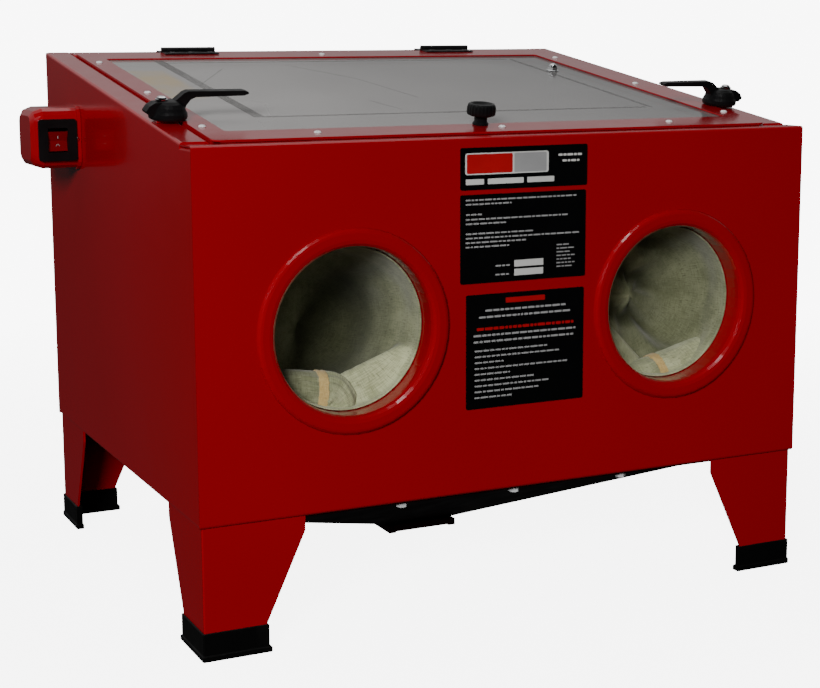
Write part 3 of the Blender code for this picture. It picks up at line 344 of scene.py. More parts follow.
def window_glass(name="window_pane"):
    """A clear pane gone milky from blasting, with fine scratches that only dull its gloss.

    It is darker towards the right, painted shade of the cabinet's dark inside seen through it, and the strip lamp
    shows through its left side as a patch.
    """
    p = Paint(name).set(spec=0.5)
    haze = p.noise(3.5, 4.0)
    milky = p.ramp(haze, ((0.3, (0.36, 0.347, 0.336)), (0.75, (0.44, 0.424, 0.41))))
    place = p.node("SeparateXYZ", Vector=p.place)
    # Painted shade: the pane darkens towards the right.
    right = p.grey(place.outputs["X"], -0.1, 0.24, 0.0, 1.0)
    milky = p.mix(right, milky, (0.55, 0.56, 0.57), "MULTIPLY")
    lamp_across = within(p, place.outputs["X"], -0.232, -0.196)
    lamp_along = within(p, place.outputs["Y"], -0.03, 0.11)
    lamp = p.mix(1.0, lamp_across, lamp_along, "MULTIPLY")
    lamp = p.mix(1.0, lamp, p.grey(p.noise(30.0), 0.4, 0.6, 0.4, 1.0), "MULTIPLY")
    p.link("Base Color", p.mix(lamp, milky, (0.52, 0.39, 0.2)))
    scratches = p.noise(14.0, 4.0, (1.0, 9.0, 1.0), 0.6)
    p.link("Roughness", p.grey(scratches, 0.4, 0.8, 0.1, 0.14))
    p.link("Alpha", p.grey(haze, 0.3, 0.8, 0.66, 0.78))
    return p.material


def film(name, colour, thin, thick):
    """Thin plastic film that is clearer in some places than in others."""
    p = Paint(name).set(base=colour, rough=0.4, spec=0.3)
    p.link("Alpha", p.grey(p.noise(12.0, 5.0), 0.3, 0.8, thin, thick))
    return p.material


def plastic(name, colour, rough, bump=0.1, spec=0.5):
    """A plain material in one colour, a little uneven in tone and gloss."""
    p = Paint(name).set(spec=spec)
    deeper = tuple(0.82 * c for c in colour)
    p.link("Base Color", p.ramp(p.noise(25.0, 4.0), ((0.3, deeper), (0.75, colour))))
    p.link("Roughness", p.grey(p.noise(120.0), 0.3, 0.7, rough * 0.8, rough * 1.25))
    p.bump(p.noise(900.0, 2.0), bump, 0.0002)
    return p.material


def woven(name, light, dark, pitch, contrast=0.5):
    """Plain weave in the piece's own UVs, in metres, with thicker threads here and there, darkened by the painted
    shade of its vertex layer.
    """
    p = Paint(name).set(rough=0.95, spec=0.1, sheen=0.15)
    p.shader.inputs["Sheen Roughness"].default_value = 0.6
    uv = p.tree.nodes.new("ShaderNodeTexCoord").outputs["UV"]

    def streaks(across, along, seed):
        scale = (1 / across, 1 / along, 1.0)
        where = p.node("Mapping", Vector=uv, Scale=scale, Location=(seed, seed, 0.0))
        return p.node("TexNoise", Vector=where.outputs[0], Scale=1.0, Detail=2.0).outputs["Fac"]

    def threads(direction):
        wave = p.tree.nodes.new("ShaderNodeTexWave")
        wave.bands_direction = direction
        wave.inputs["Scale"].default_value = 0.314 / pitch
        wave.inputs["Distortion"].default_value = 1.0
        wave.inputs["Detail"].default_value = 2.0
        p.tree.links.new(uv, wave.inputs["Vector"])
        return wave.outputs["Fac"]

    warp = p.mix(0.8, threads("X"), streaks(1.1 * pitch, 9 * pitch, 3.0))
    weft = p.mix(0.8, threads("Y"), streaks(9 * pitch, 1.1 * pitch, 11.0))
    cloth = p.mix(0.5, warp, weft)
    tone = p.mix(0.35, cloth, p.noise(60.0, 4.0))
    slubs = p.grey(streaks(0.8 * pitch, 4 * pitch, 29.0), 0.58, 0.68, 0.0, contrast)
    base = p.ramp(tone, ((0.43, dark), (0.57, light)))
    unshaded = p.mix(slubs, base, tuple(0.45 * c for c in dark))
    # Painted shade: the vertex layer multiplies the cloth towards a dark olive, deep in the sleeve and in its fold
    # hollows.
    painted_shade = p.tree.nodes.new("ShaderNodeAttribute")
    painted_shade.attribute_name = PAINTED_SHADE_LAYER
    p.link("Base Color", p.mix(painted_shade.outputs["Fac"], unshaded, (0.042, 0.045, 0.026), "MULTIPLY"))
    p.bump(cloth, 0.5, pitch * 0.3)
    return p.material


# ------------------------------------------------------------------ mesh helpers


def mesh_object(name, bm, smooth=35):
    """An object of the mesh, with edges sharper than smooth degrees left sharp."""
    bmesh.ops.recalc_face_normals(bm, faces=bm.faces)
    mesh = bpy.data.meshes.new(name)
    bm.to_mesh(mesh)
    bm.free()
    made = bpy.data.objects.new(name, mesh)
    bpy.context.scene.collection.objects.link(made)
    mesh.shade_smooth()
    mesh.set_sharp_from_angle(angle=math.radians(smooth))
    return made


def finish_piece(made, material, body, slot, *replaced):
    """Gives a piece its material and body, and hides the CAD nodes that it stands for. Its slot is not used."""
    made.data.materials.append(material)
    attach(made, body)
    if replaced:
        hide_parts(*replaced)
    return made


def around(count):
    """Angles at even steps round a turn."""
    return [2 * math.pi * i / count for i in range(count)]


def add_circle(bm, radius, height, matrix, segments, flute=None):
    """A ring of vertices. flute(angle, radius) may change the radius round the turn."""
    ring = []
    for a in around(segments):
        r = flute(a, radius) if flute else radius
        ring.append(bm.verts.new(matrix @ Vector((r * math.cos(a), r * math.sin(a), height))))
    return ring


def join_rings(bm, rings):
    """Faces from each ring of vertices to the next."""
    for low, high in zip(rings, rings[1:]):
        for i in range(len(low)):
            j = (i + 1) % len(low)
            bm.faces.new((low[i], low[j], high[j], high[i]))


def add_lathe(bm, profile, matrix, segments=32, flute=None):
    """Adds a turned body, with a flat face at each end of its profile."""
    rings = [add_circle(bm, radius, height, matrix, segments, flute) for radius, height in profile]
    join_rings(bm, rings)
    bm.faces.new(rings[0][::-1])
    bm.faces.new(rings[-1])


def add_prism(bm, outline, low, high, matrix):
    """Adds a block with the outline as its section, from low to high."""
    rings = [[bm.verts.new(matrix @ Vector((x, y, z))) for x, y in outline] for z in (low, high)]
    join_rings(bm, rings)
    bm.faces.new(rings[0][::-1])
    bm.faces.new(rings[1])


def rectangle(x, y, width, height):
    """Corners of a rectangle whose middle is at x, y."""
    corners = ((-1, -1), (1, -1), (1, 1), (-1, 1))
    return [(x + i * width / 2, y + j * height / 2) for i, j in corners]


def rounded(x, y, width, height, radius, steps=4):
    """The same with round corners."""
    outline = []
    for sx, sy, start in ((1, 1, 0), (-1, 1, 90), (-1, -1, 180), (1, -1, 270)):
        for i in range(steps + 1):
            a = math.radians(start + 90 * i / steps)
            across = x + sx * (width / 2 - radius) + radius * math.cos(a)
            up = y + sy * (height / 2 - radius) + radius * math.sin(a)
            outline.append((across, up))
    return outline


def in_mm(*points):
    """Points given in millimetres."""
    return [(x * MM, y * MM) for x, y in points]


def hexagon(radius, turned):
    """A hexagon's corners, turned by an angle in degrees."""
    corners = (math.radians(60 * k + turned) for k in range(6))
    return [(radius * math.cos(a), radius * math.sin(a)) for a in corners]


def add_cross_screw(bm, matrix, radius, height):
    """A pan-head screw with a cross recess: a ring of head round a sunk, cross-shaped floor."""
    half, reach, sunk = 0.16 * radius, 0.62 * radius, 0.45 * height
    cross = []
    for k in range(4):
        turn = Matrix.Rotation(k * math.pi / 2, 2)
        cross += [turn @ Vector(p) for p in ((reach, -half), (reach, half), (half, half))]
    # The rim's radius and height, as shares of the head's.
    rim = ((1.0, 0.0), (1.0, 0.35), (0.86, 0.75), (0.72, 0.95))
    rings = [add_circle(bm, r * radius, z * height, matrix, 48) for r, z in rim]
    join_rings(bm, rings)
    bm.faces.new(rings[0][::-1])
    top = [bm.verts.new(matrix @ Vector((p.x, p.y, height))) for p in cross]
    floor = [bm.verts.new(matrix @ Vector((p.x, p.y, height - sunk))) for p in cross]
    join_rings(bm, (top, floor))
    bm.faces.new(floor)
    edges = []
    for ring in (rings[-1], top):
        for i in range(len(ring)):
            edges.append(bm.edges.get((ring[i], ring[(i + 1) % len(ring)])))
    bmesh.ops.bridge_loops(bm, edges=edges)


# Folded and cast parts whose edges are rounded a little, so that they catch the light.
ROUNDED = ("front_panel", "lid_frame", "latch_lever_left", "latch_lever_right", "switch_box")
EDGE_WIDTH = 0.5 * MM


def round_edges(node, width):
    """Rounds a CAD node's sharp edges with a modifier."""
    bevel = NODES[node].modifiers.new("edges", "BEVEL")
    bevel.width = width
    bevel.segments = 2
    bevel.limit_method = "ANGLE"
    bevel.angle_limit = math.radians(40)
    bevel.harden_normals = True


# ------------------------------------------------------------------ fixings


def lid_screws(metal):
    """Small cross-head screws round the window frame: three a side, three in front, one behind."""
    places = [(side * 256, s) for side in (-1, 1) for s in (46.5, 198.5, 360.4)]
    places += [(x, 10.5) for x in (-170, 0, 170.5)]
    places += [(-7, 397)]
    places = [(x * MM, s * MM) for x, s in places]
    for index, (x, s) in enumerate(places):
        bm = bmesh.new()
        spin = Matrix.Rotation(0.7 * index, 4, "Z")
        add_cross_screw(bm, slope_matrix(x, s, LID_TOP - 0.1 * MM) @ spin, 3.1 * MM, 1.5 * MM)
        finish_piece(mesh_object(f"lid_screw_{index + 1}", bm), metal, "lid", "chrome")


def hopper_bolts(metal):
    """Hex bolts with washers, heads down, through the hopper's flange."""
    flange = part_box("hopper")[1].z - 2 * MM
    places = [(x, y) for y in (-217, 214) for x in (-108, 0, 109)]
    places += [(side * 276, y) for side in (-1, 1) for y in (-70, 70)]
    middle_y = (FACE_LOW.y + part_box("back_panel")[1].y) / 2
    down = Matrix.Rotation(math.pi, 4, "X")
    for index, (x, y) in enumerate(places):
        place = Matrix.Translation((MIDDLE + x * MM, middle_y + y * MM, flange)) @ down
        bm = bmesh.new()
        add_lathe(bm, in_mm((6.2, -0.1), (6.2, 0.9), (5.9, 1.1)), place, 32)
        add_prism(bm, hexagon(4.9 * MM, 13 * index), 1.0 * MM, 4.6 * MM, place)
        add_lathe(bm, in_mm((4.2, 4.4), (4.0, 5.0), (2.5, 5.2)), place, 24)
        finish_piece(mesh_object(f"hopper_bolt_{index + 1}", bm), metal, "cabinet", "chrome")


def dome_nut(metal):
    """The acorn nut and its washer, near the pane's right edge."""
    place = slope_matrix(212 * MM, 290 * MM, 0.1 * MM)
    bm = bmesh.new()
    add_lathe(bm, in_mm((6.6, 0), (6.6, 0.9), (6.2, 1.2)), place, 36)
    add_prism(bm, hexagon(5.4 * MM, 0), 1.0 * MM, 4.2 * MM, place)
    arc = (math.radians(9 * k) for k in range(10))
    dome = in_mm(*((4.5 * math.cos(a), 4.0 + 4.0 * math.sin(a)) for a in arc))
    add_lathe(bm, dome, place, 28)
    finish_piece(mesh_object("window_dome_nut", bm), metal, "lid", "chrome")


# A hinge's leaves: the body that each rides on, its name, its place up the slope and its top.
HINGE_X = 147.5 * MM
LEAVES = (("lid", "lid_leaf", 408 * MM, 3.5 * MM), ("cabinet", "body_leaf", 429 * MM, 1.5 * MM))


def hinge_screws(metal):
    """Three flat-headed screws in each leaf."""
    for word, x in (("left", -HINGE_X), ("right", HINGE_X)):
        for body, leaf, s, top in LEAVES:
            for k in (-1, 0, 1):
                bm = bmesh.new()
                place = slope_matrix(x + k * 20 * MM, s, top - 0.05 * MM)
                place = place @ Matrix.Rotation(0.5 + k, 4, "Z")
                add_cross_screw(bm, place, 3.0 * MM, 0.9 * MM)
                name = f"hinge_{word}_{leaf}_screw_{k + 2}"
                finish_piece(mesh_object(name, bm), metal, body, "black_steel")


# The knob's outline as radius and height above the slope: foot, neck, head and dished top.
KNOB_FOOT = ((6.8, 2.3), (6.9, 3.4), (6.2, 4.4), (5.6, 5.2), (5.6, 8.4), (6.6, 9.2))
KNOB_HEAD = ((9.6, 9.9), (11.8, 10.9), (12.4, 12.2), (12.5, 14.5), (12.4, 16.9), (11.9, 19.0))
KNOB_TOP = ((10.8, 20.3), (9.6, 20.6), (8.6, 19.9), (7.4, 18.4), (3.0, 17.8))


def knob_flute(angle, radius):
    """24 shallow flutes round the widest part of the head."""
    if radius < 11 * MM:
        return radius
    return radius - 0.45 * MM * (1 + math.cos(24 * angle)) / 2


def knob(material):
    """The lid's knob, with flutes round its head for grip."""
    place = slope_matrix(centre_of("lid_knob").x - MIDDLE, 22 * MM, 0)
    bm = bmesh.new()
    add_lathe(bm, in_mm(*KNOB_FOOT, *KNOB_HEAD, *KNOB_TOP), place, 192, knob_flute)
    made = mesh_object("lid_knob_fluted", bm, 50)
    finish_piece(made, material, "lid", "black_plastic", "lid_knob")


# ------------------------------------------------------------------ switch


# The rocker's face is a shallow V: its slant, and how far its halves lie from the pivot.
ROCKER_TILT = math.radians(8)
ROCKER_SLANT = math.atan2(2.6, 9.2)
ROCKER_DEPTH = 6.96 * MM


def rocker_half(side):
    """A frame on the upper (1) or lower (-1) half of the rocker's face."""
    pivot = Vector(JOINTS["switch_rocker_tilt"]["pos_m"])
    tilted = Matrix.Translation(pivot) @ Matrix.Rotation(ROCKER_TILT, 4, "X")
    half = tilted @ Matrix.Translation((0, -ROCKER_DEPTH, side * 4.6 * MM))
    return half @ Matrix.Rotation(math.pi / 2 - side * ROCKER_SLANT, 4, "X")


def switch_details(metal, white):
    """The rocker's two marks, a bar and a ring, and the screw that holds the box's cover."""
    low, high = -0.1 * MM, 0.1 * MM
    bm = bmesh.new()
    add_prism(bm, rectangle(0, 0, 0.6 * MM, 4.4 * MM), low, high, rocker_half(1))
    finish_piece(mesh_object("switch_mark_on", bm), white, "switch_rocker", "ceramic")
    bm = bmesh.new()
    outer, inner = 1.8 * MM, 1.35 * MM
    section = ((outer, low), (outer, high), (inner, high), (inner, low))
    rings = [add_circle(bm, radius, height, rocker_half(-1), 32) for radius, height in section]
    join_rings(bm, rings + rings[:1])
    finish_piece(mesh_object("switch_mark_off", bm), white, "switch_rocker", "ceramic")
    box_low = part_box("switch_box")[0]
    place = Matrix.Translation((MIDDLE - HALF - 3.6 * MM, box_low.y + 1.2 * MM, 400 * MM))
    bm = bmesh.new()
    add_cross_screw(bm, place @ Matrix.Rotation(math.pi / 2, 4, "X"), 2.4 * MM, 1.6 * MM)
    finish_piece(mesh_object("switch_box_screw", bm), metal, "cabinet", "chrome")


# ------------------------------------------------------------------ printed plates


class Plate:
    """A label plate to print on. Places on it are in mm across and down from its top left."""

    def __init__(self, node):
        self.low, self.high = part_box(node)
        face = Matrix.Translation((0, self.low.y - 0.02 * MM, 0))
        self.face = face @ Matrix.Rotation(math.pi / 2, 4, "X")

    def block(self, bm, across, down, width, height, radius=0.0, thick=0.08):
        """A plain block with its middle at across, down."""
        size = (self.low.x + across * MM, self.high.z - down * MM, width * MM, height * MM)
        outline = rounded(*size, radius * MM) if radius else rectangle(*size)
        add_prism(bm, outline, 0, thick * MM, self.face)

    def lines(self, bm, rows, rng):
        """Rows of short bars that stand for print. Each row is (down, left, right, height)."""
        for down, left, right, height in rows:
            x = self.low.x + left * MM
            end = self.low.x + right * MM
            z = self.high.z - down * MM
            while x < end - 1.5 * MM:
                width = min(rng.uniform(2.2, 7.5) * MM, end - x)
                outline = rounded(x + width / 2, z, width, height * MM, 0.3 * height * MM, 2)
                add_prism(bm, outline, 0.0, 0.08 * MM, self.face)
                x += width + 0.9 * MM


def print_piece(name, bm, material, slot="ceramic"):
    """Finishes a piece of print, which stays with the cabinet."""
    finish_piece(mesh_object(name, bm), material, "cabinet", slot)


def top_plate(white, grey, red, rng):
    """A framed panel in two fields, a heading in three blocks and two short lines."""
    plate = Plate("label_top")
    bm = bmesh.new()
    plate.block(bm, 44, 13.5, 79, 18, 2, 0.06)
    print_piece("plate_top_frame", bm, white)
    bm = bmesh.new()
    plate.block(bm, 27.5, 13.5, 43, 16, 1.2, 0.1)
    print_piece("plate_top_field_left", bm, red, "red_lens")
    bm = bmesh.new()
    plate.block(bm, 66, 13.5, 31, 16, 1.2, 0.1)
    print_piece("plate_top_field_right", bm, grey)
    bm = bmesh.new()
    for across, width in ((13.5, 17), (42.5, 34), (76, 26)):
        plate.block(bm, across, 28.3, width, 4.6, 0.6)
    plate.lines(bm, ((8.5, 93, 116, 1.8), (13.5, 97, 116, 1.8)), rng)
    print_piece("plate_top_print", bm, white)


def middle_plate(white, grey, rng):
    """Lines of small print, a column of short lines and two blank fields."""
    plate = Plate("label_middle")
    bm = bmesh.new()
    ends = ((4.5, 112), (8.0, 48), (16.5, 20), (20.5, 105), (24.2, 44))
    ends += ((32.5, 70), (36.2, 114), (39.9, 62), (43.6, 46))
    rows = [(down, 5, right, 1.3) for down, right in ends]
    rows += [(46 + 3.1 * k, 92, 104 + (k * 5) % 9, 1.0) for k in range(7)]
    rows += [(60.5, 33, 49, 1.3), (68.0, 33, 46, 1.3)]
    plate.lines(bm, rows, rng)
    print_piece("plate_middle_print", bm, grey)
    bm = bmesh.new()
    for down in (59.5, 67.0):
        plate.block(bm, 65, down, 28, 5.6)
    print_piece("plate_middle_boxes", bm, white)


def bottom_plate(grey, red, rng):
    """A red heading bar, a red line and lines of small print."""
    plate = Plate("label_bottom")
    bm = bmesh.new()
    plate.block(bm, 56.5, 6.4, 38, 4.4, 0.6)
    plate.lines(bm, ((29.5, 10, 104, 2.4),), rng)
    print_piece("plate_bottom_headings", bm, red, "red_lens")
    bm = bmesh.new()
    rows = [(14.0, 18, 96, 1.7), (19.5, 12, 102, 1.7), (35.0, 7, 106, 1.7), (40.3, 7, 104, 1.7)]
    ends = (78, 90, 38, 98, 42, 66, 82, 70, 44)
    rows += [(48.0 + 5.0 * k, 8, right, 1.4) for k, right in enumerate(ends)]
    plate.lines(bm, rows, rng)
    print_piece("plate_bottom_print", bm, grey)


def printed_plates(white, grey, red):
    """Generic print on the three plates, with bars in place of words."""
    rng = random.Random(7)
    top_plate(white, grey, red, rng)
    middle_plate(white, grey, rng)
    bottom_plate(grey, red, rng)


# ------------------------------------------------------------------ window film


# The film's middle as (x, s), its size, and how far its lower face is under the slope.
FILM_MIDDLE = (4 * MM, 226 * MM)
FILM_SIZE = (400 * MM, 280 * MM)
FILM_UNDER = 2.97 * MM
# Its edges as (x, s, width, height) in mm: the creased left one, the low, right and high ones.
FILM_EDGES = (
    (-191.5, 232, 10, 290),
    (5, 88, 383, 4.5),
    (202, 226, 4.5, 276),
    (5, 364, 383, 3.0),
)
# Fine scratches in the pane: start and end as (x, s), and width, all in mm.
SCRATCHES = (
    ((-68, 345), (-26, 262), 0.9),
    ((-26, 262), (-8, 160), 0.8),
    ((-62, 150), (-50, 105), 0.6),
    ((-196, 236), (-140, 330), 0.7),
)


def window_film(material):
    """A thin protective sheet behind the pane, smaller than the window all round."""
    bm = bmesh.new()
    matrix = slope_matrix(*FILM_MIDDLE, -FILM_UNDER)
    add_prism(bm, rounded(0, 0, *FILM_SIZE, 4 * MM), 0, 0.08 * MM, matrix)
    finish_piece(mesh_object("window_film", bm), material, "lid", "glass")


def film_edges(material):
    """The film's edges as they show through the pane, with the scratches, on the pane's top."""
    bm = bmesh.new()
    thick = 0.05 * MM
    flat = slope_matrix(0, 0, PANE_TOP + thick)
    for edge in FILM_EDGES:
        add_prism(bm, rectangle(*(value * MM for value in edge)), 0, thick, flat)
    for start, end, width in SCRATCHES:
        start, end = Vector(start) * MM, Vector(end) * MM
        ahead = end - start
        side = Vector((-ahead.y, ahead.x)).normalized() * width * MM / 2
        add_prism(bm, [start - side, end - side, end + side, start + side], 0, thick, flat)
    finish_piece(mesh_object("window_film_edges", bm), material, "lid", "glass")


# ------------------------------------------------------------------ gauntlets


def ease(value, low, high):
    """0 below low, 1 above high, and smooth between them."""
    t = min(max((value - low) / (high - low), 0.0), 1.0)
    return t * t * (3 - 2 * t)


def smooth_line(knots, count):
    """Points on a Catmull-Rom curve through the knots, which may have any number of values."""
    ends = [2 * knots[0] - knots[1]] + list(knots) + [2 * knots[-1] - knots[-2]]
    points = []
    for i in range(count):
        t = i / (count - 1) * (len(knots) - 1)
        k = min(int(t), len(knots) - 2)
        t -= k
        a, b, c, d = ends[k : k + 4]
        blend = (2 * b) + (c - a) * t
        blend = blend + (2 * a - 5 * b + 4 * c - d) * t**2 + (3 * b - a - 3 * c + d) * t**3
        points.append(blend * 0.5)
    return points


def add_cloth(bm, rows, painted_shade=None, closed_end=False):
    """Adds rows of points round a tube as cloth, with UVs in metres round it and along it."""
    layer = bm.loops.layers.uv.verify()
    shade_layer = bm.verts.layers.float.get(PAINTED_SHADE_LAYER) or bm.verts.layers.float.new(PAINTED_SHADE_LAYER)
    count = len(rows[0])
    along = [0.0]
    for low, high in zip(rows, rows[1:]):
        along.append(along[-1] + sum((p - q).length for p, q in zip(low, high)) / count)
    widest = max(sum((p - q).length for p, q in zip(row, row[1:])) for row in rows)
    made = [[bm.verts.new(point) for point in row] for row in rows]
    for row, values in zip(made, painted_shade or []):
        for vert, value in zip(row, values):
            vert[shade_layer] = value
    for k, (low, high) in enumerate(zip(made, made[1:])):
        for i in range(count):
            j = (i + 1) % count
            face = bm.faces.new((low[i], low[j], high[j], high[i]))
            corners = ((i, k), (i + 1, k), (i + 1, k + 1), (i, k + 1))
            for loop, (across, row) in zip(face.loops, corners):
                loop[layer].uv = (widest * across / count, along[row])
    if closed_end:
        bm.faces.new(made[-1])


def in_steps(value, steps):
    """Eased between the (position, level) steps."""
    level = steps[0][1]
    for (low, _), (high, following) in zip(steps, steps[1:]):
        level += (following - level) * ease(value, low, high)
    return level


def angle_from(a, degrees):
    """The angle a measured from a direction, between -pi and pi."""
    return (a - math.radians(degrees) + math.pi) % (2 * math.pi) - math.pi


def folded(a, depth, radius, wave, shape):
    """The sleeve's radius with its long folds, and with the swelling behind the cuff."""
    height, count, lean = shape["folds"]
    fold = height * math.sin(count * a + lean * depth / 100 + 2.4 * wave) + 3.0 * wave
    swelling = 12 * ease(depth, 25, 40) * (1 - ease(depth, 46, 62))
    off = angle_from(a, shape["swell"])
    return radius + ease(depth, 25, 50) * fold + swelling * math.exp(-((off / 0.55) ** 2))


def painted_shading(a, depth, shape):
    """How much painted shade the cloth gets: more with depth, far less on the side that the port shades, and less
    on the unshaded arc near the front.
    """
    painted_shade = in_steps(depth, shape["painted_shade"]) * (0.25 + 0.75 * ease(math.cos(a + 0.35), -0.35, 0.5))
    first, last = shape["unshaded_arc"]
    if first < math.degrees(a) < last:
        painted_shade *= 1 - 0.85 * (1 - ease(depth, 40, 54)) * (1 - ease(math.degrees(a), last - 35, last))
    return painted_shade


def lapped(a, depth, r, painted_shade, shape):
    """Radius and painted shade with the lap: the sleeve stands in to a straight crest, left unshaded in front."""
    side, reach, back = shape["lap"]
    turn = angle_from(a, side)
    if abs(turn) >= 1.3 or reach / math.cos(turn) >= r:
        return r, painted_shade
    crest = reach / math.cos(turn)
    rise = ease(depth, back - 16, back) ** 0.75
    fall = 1 - ease(depth, back + 1.5, back + 14)
    unshaded = 1 - ease(depth, back + 0.5, back + 6)
    return r + (crest - r) * rise * fall, painted_shade * (1 - unshaded * ease(r - crest, 0, 7))


def cloth_point(a, depth, radius, sag, shape):
    """A point of the sleeve, in mm from the port's middle, and how much painted shade the cloth gets there."""
    if radius > CUFF_RADIUS:
        return Vector((radius * math.cos(a), depth, radius * math.sin(a))), 0.3
    where = Vector((2.2 * math.cos(a), 2.2 * math.sin(a), shape["seed"] + depth / 55))
    wave = noise.noise(where)
    r = folded(a, depth, radius, wave, shape)
    r, painted_shade = lapped(a, depth, r, painted_shading(a, depth, shape), shape)
    small = noise.noise(Vector((9 * math.cos(a), 9 * math.sin(a), depth / 9)))
    r += ease(depth, 25, 50) * 0.35 * small
    point = Vector((r * math.cos(a), depth, r * math.sin(a) - sag))
    height, spacing, shift, lean = shape["waves"]
    across = point.z * math.cos(lean) + point.x * math.sin(lean)
    hollow = math.cos(2 * math.pi * (across - shift + 9 * wave) / spacing)
    hollow *= ease(depth, 52, 64) * (1 - ease(point.x, 5, 50))
    point.y += height * hollow
    # Painted shade in the hollows of the folds at the end.
    return point, painted_shade + (1 - painted_shade) * shape["hollow_painted_shade"] * max(hollow, 0)


def sleeve_rows(centre, stations, shape):
    """The sleeve's points and their painted shade, from its cuff over the neck to its end."""
    rows, painted_shade = [], []
    for depth, radius, sag in smooth_line([Vector(station) for station in stations], 74):
        made = [cloth_point(a, depth, radius, sag, shape) for a in around(168)]
        rows.append([centre + point * MM for point, _ in made])
        painted_shade.append([value for _, value in made])
    return rows, painted_shade


def frame_along(line, k):
    """Directions ahead, aside and up at a point of the line."""
    ahead = line[min(k + 1, len(line) - 1)] - line[max(k - 1, 0)]
    ahead = Vector(ahead[:3]).normalized()
    side = ahead.cross(Vector((0, 0, 1))).normalized()
    return ahead, side, side.cross(ahead)


def hand_rows(centre, line, tied, seed):
    """The folded hand end: a soft tube, drawn in by the band, with pleats that run out from it."""
    rows = []
    for k, knot in enumerate(line):
        _, side, up = frame_along(line, k)
        near = (Vector(knot[:3]) - Vector(line[tied][:3])).length
        pinch = math.exp(-((near / 5.0) ** 2))
        pleat = 0.75 * math.exp(-near / 12) + 0.18
        row = []
        for a in around(96):
            sway = noise.noise(Vector((1.4 * math.cos(a), 1.4 * math.sin(a), seed + k / 22)))
            r = knot[3] - 1.3 * pinch
            r += pleat * math.sin(11 * a + 5 * sway + seed) + 1.5 * sway * (1 - pinch)
            radial = side * math.cos(a) + up * math.sin(a)
            row.append(centre + (Vector(knot[:3]) + radial * max(r, 0.3)) * MM)
        rows.append(row)
    return rows


# The band's section: how far out from the cloth, and where across its width, from -1 to 1.
BAND_SECTION = ((0, -1), (1.1, -1), (1.35, -0.5), (1.2, 0.05), (1.4, 0.5), (1.1, 1), (0, 1))


def band_rows(centre, line, tied, half_width, seed):
    """A flat elastic band round the hand end, its edges a little worn."""
    ahead, side, up = frame_along(line, tied)
    rows = []
    for depth, shift in BAND_SECTION:
        row = []
        for a in around(160):
            where = Vector((math.cos(a), math.sin(a), seed + shift))
            fray = 0.55 * noise.noise(where * 9.0) + 0.5 * noise.noise(where * 2.0)
            reach = shift * half_width + (fray if abs(shift) == 1 else 0.4 * fray)
            r = line[tied][3] - 0.35 + depth + 0.25 * noise.noise(where * 3.0)
            point = Vector(line[tied][:3]) + ahead * reach + (side * math.cos(a) + up * math.sin(a)) * r
            row.append(centre + point * MM)
        rows.append(row)
    return rows + rows[:1]


def gauntlet(word, shape, cloth, elastic):
    """One gauntlet, turned in over its port: sleeve, rolled hand end and elastic band."""
    centre = centre_of("arm_port_" + word)
    centre.y = FRONT
    line = smooth_line([Vector(knot) for knot in shape["hand"]], 90)
    tied, seed = shape["tied"], shape["seed"]
    bm = bmesh.new()
    add_cloth(bm, *sleeve_rows(centre, CUFF + shape["sleeve"], shape), closed_end=True)
    rows = hand_rows(centre, line, tied, seed)
    # Painted shade along the hand end, darkest at its left end.
    painted_shade = [[in_steps(k, shape["hand_painted_shade"])] * len(row) for k, row in enumerate(rows)]
    add_cloth(bm, rows, painted_shade)
    sleeve = mesh_object(f"gauntlet_{word}_cloth", bm, 80)
    made = finish_piece(sleeve, cloth, "cabinet", "cotton", "gauntlet_" + word)
    skin = made.modifiers.new("thickness", "SOLIDIFY")
    skin.thickness = 0.7 * MM
    skin.offset = 0
    bm = bmesh.new()
    add_cloth(bm, band_rows(centre, line, tied, 4.0, seed))
    band = mesh_object(f"gauntlet_{word}_band", bm, 60)
    finish_piece(band, elastic, "cabinet", "elastic", "elastic_band_" + word)


# The cuff that both sleeves start with, as (depth, radius, sag) in mm: it lies on the neck and
# turns back under it. Every point wider than CUFF_RADIUS lies flat on the neck.
CUFF_RADIUS = 71
CUFF = [(5, 72.6, 0), (14, 72.4, 0), (22.5, 72.2, 0), (24.9, 71.4, 0)]
CUFF += [(25.1, 69.4, 0), (21, 68.4, 0), (18.4, 68.1, 0), (18.8, 67.3, 0)]

# A gauntlet's shape, in mm and degrees.
#   sleeve: stations (depth, radius, sag) on from the cuff; folds: height, count, lean.
#   lap: direction, distance of its crest, depth of its crest; swell: direction of the swelling.
#   unshaded_arc: the stretch left without painted shade, from and to; painted_shade and hand_painted_shade: levels
#       of painted shade along sleeve and hand.
#   waves: height, spacing, shift and lean of the folds at the end; hollow_painted_shade: painted shade in their
#       hollows.
#   hand: knots (x, depth, height, radius); tied: the point of its line that the band is on.
LEFT_SHAPE = {
    "seed": 3.1,
    "sleeve": [
        (26, 67.2, 0),
        (45, 66, 1),
        (65, 63.5, 3),
        (95, 56, 8),
        (122, 42, 13),
        (132, 22, 15),
        (134, 6, 16),
    ],
    "folds": (2.2, 3, 1.5),
    "lap": (-70, 41, 41),
    "swell": 228,
    "unshaded_arc": (265, 265),
    "painted_shade": ((20, 0.40), (45, 0.50), (75, 0.74), (105, 0.93), (134, 0.86)),
    "waves": (1.5, 60, 10, -0.5),
    "hollow_painted_shade": 0.1,
    "hand": [
        (-68, 48, -50, 13),
        (-45, 44, -51.5, 16.5),
        (-25, 42, -55, 17),
        (-9, 40, -57.5, 18),
        (-2, 38, -63, 17),
        (2.5, 36, -71, 14.5),
        (6, 34, -80, 6),
    ],
    "tied": 37,
    "hand_painted_shade": ((0, 0.6), (28, 0.45), (60, 0.1)),
}
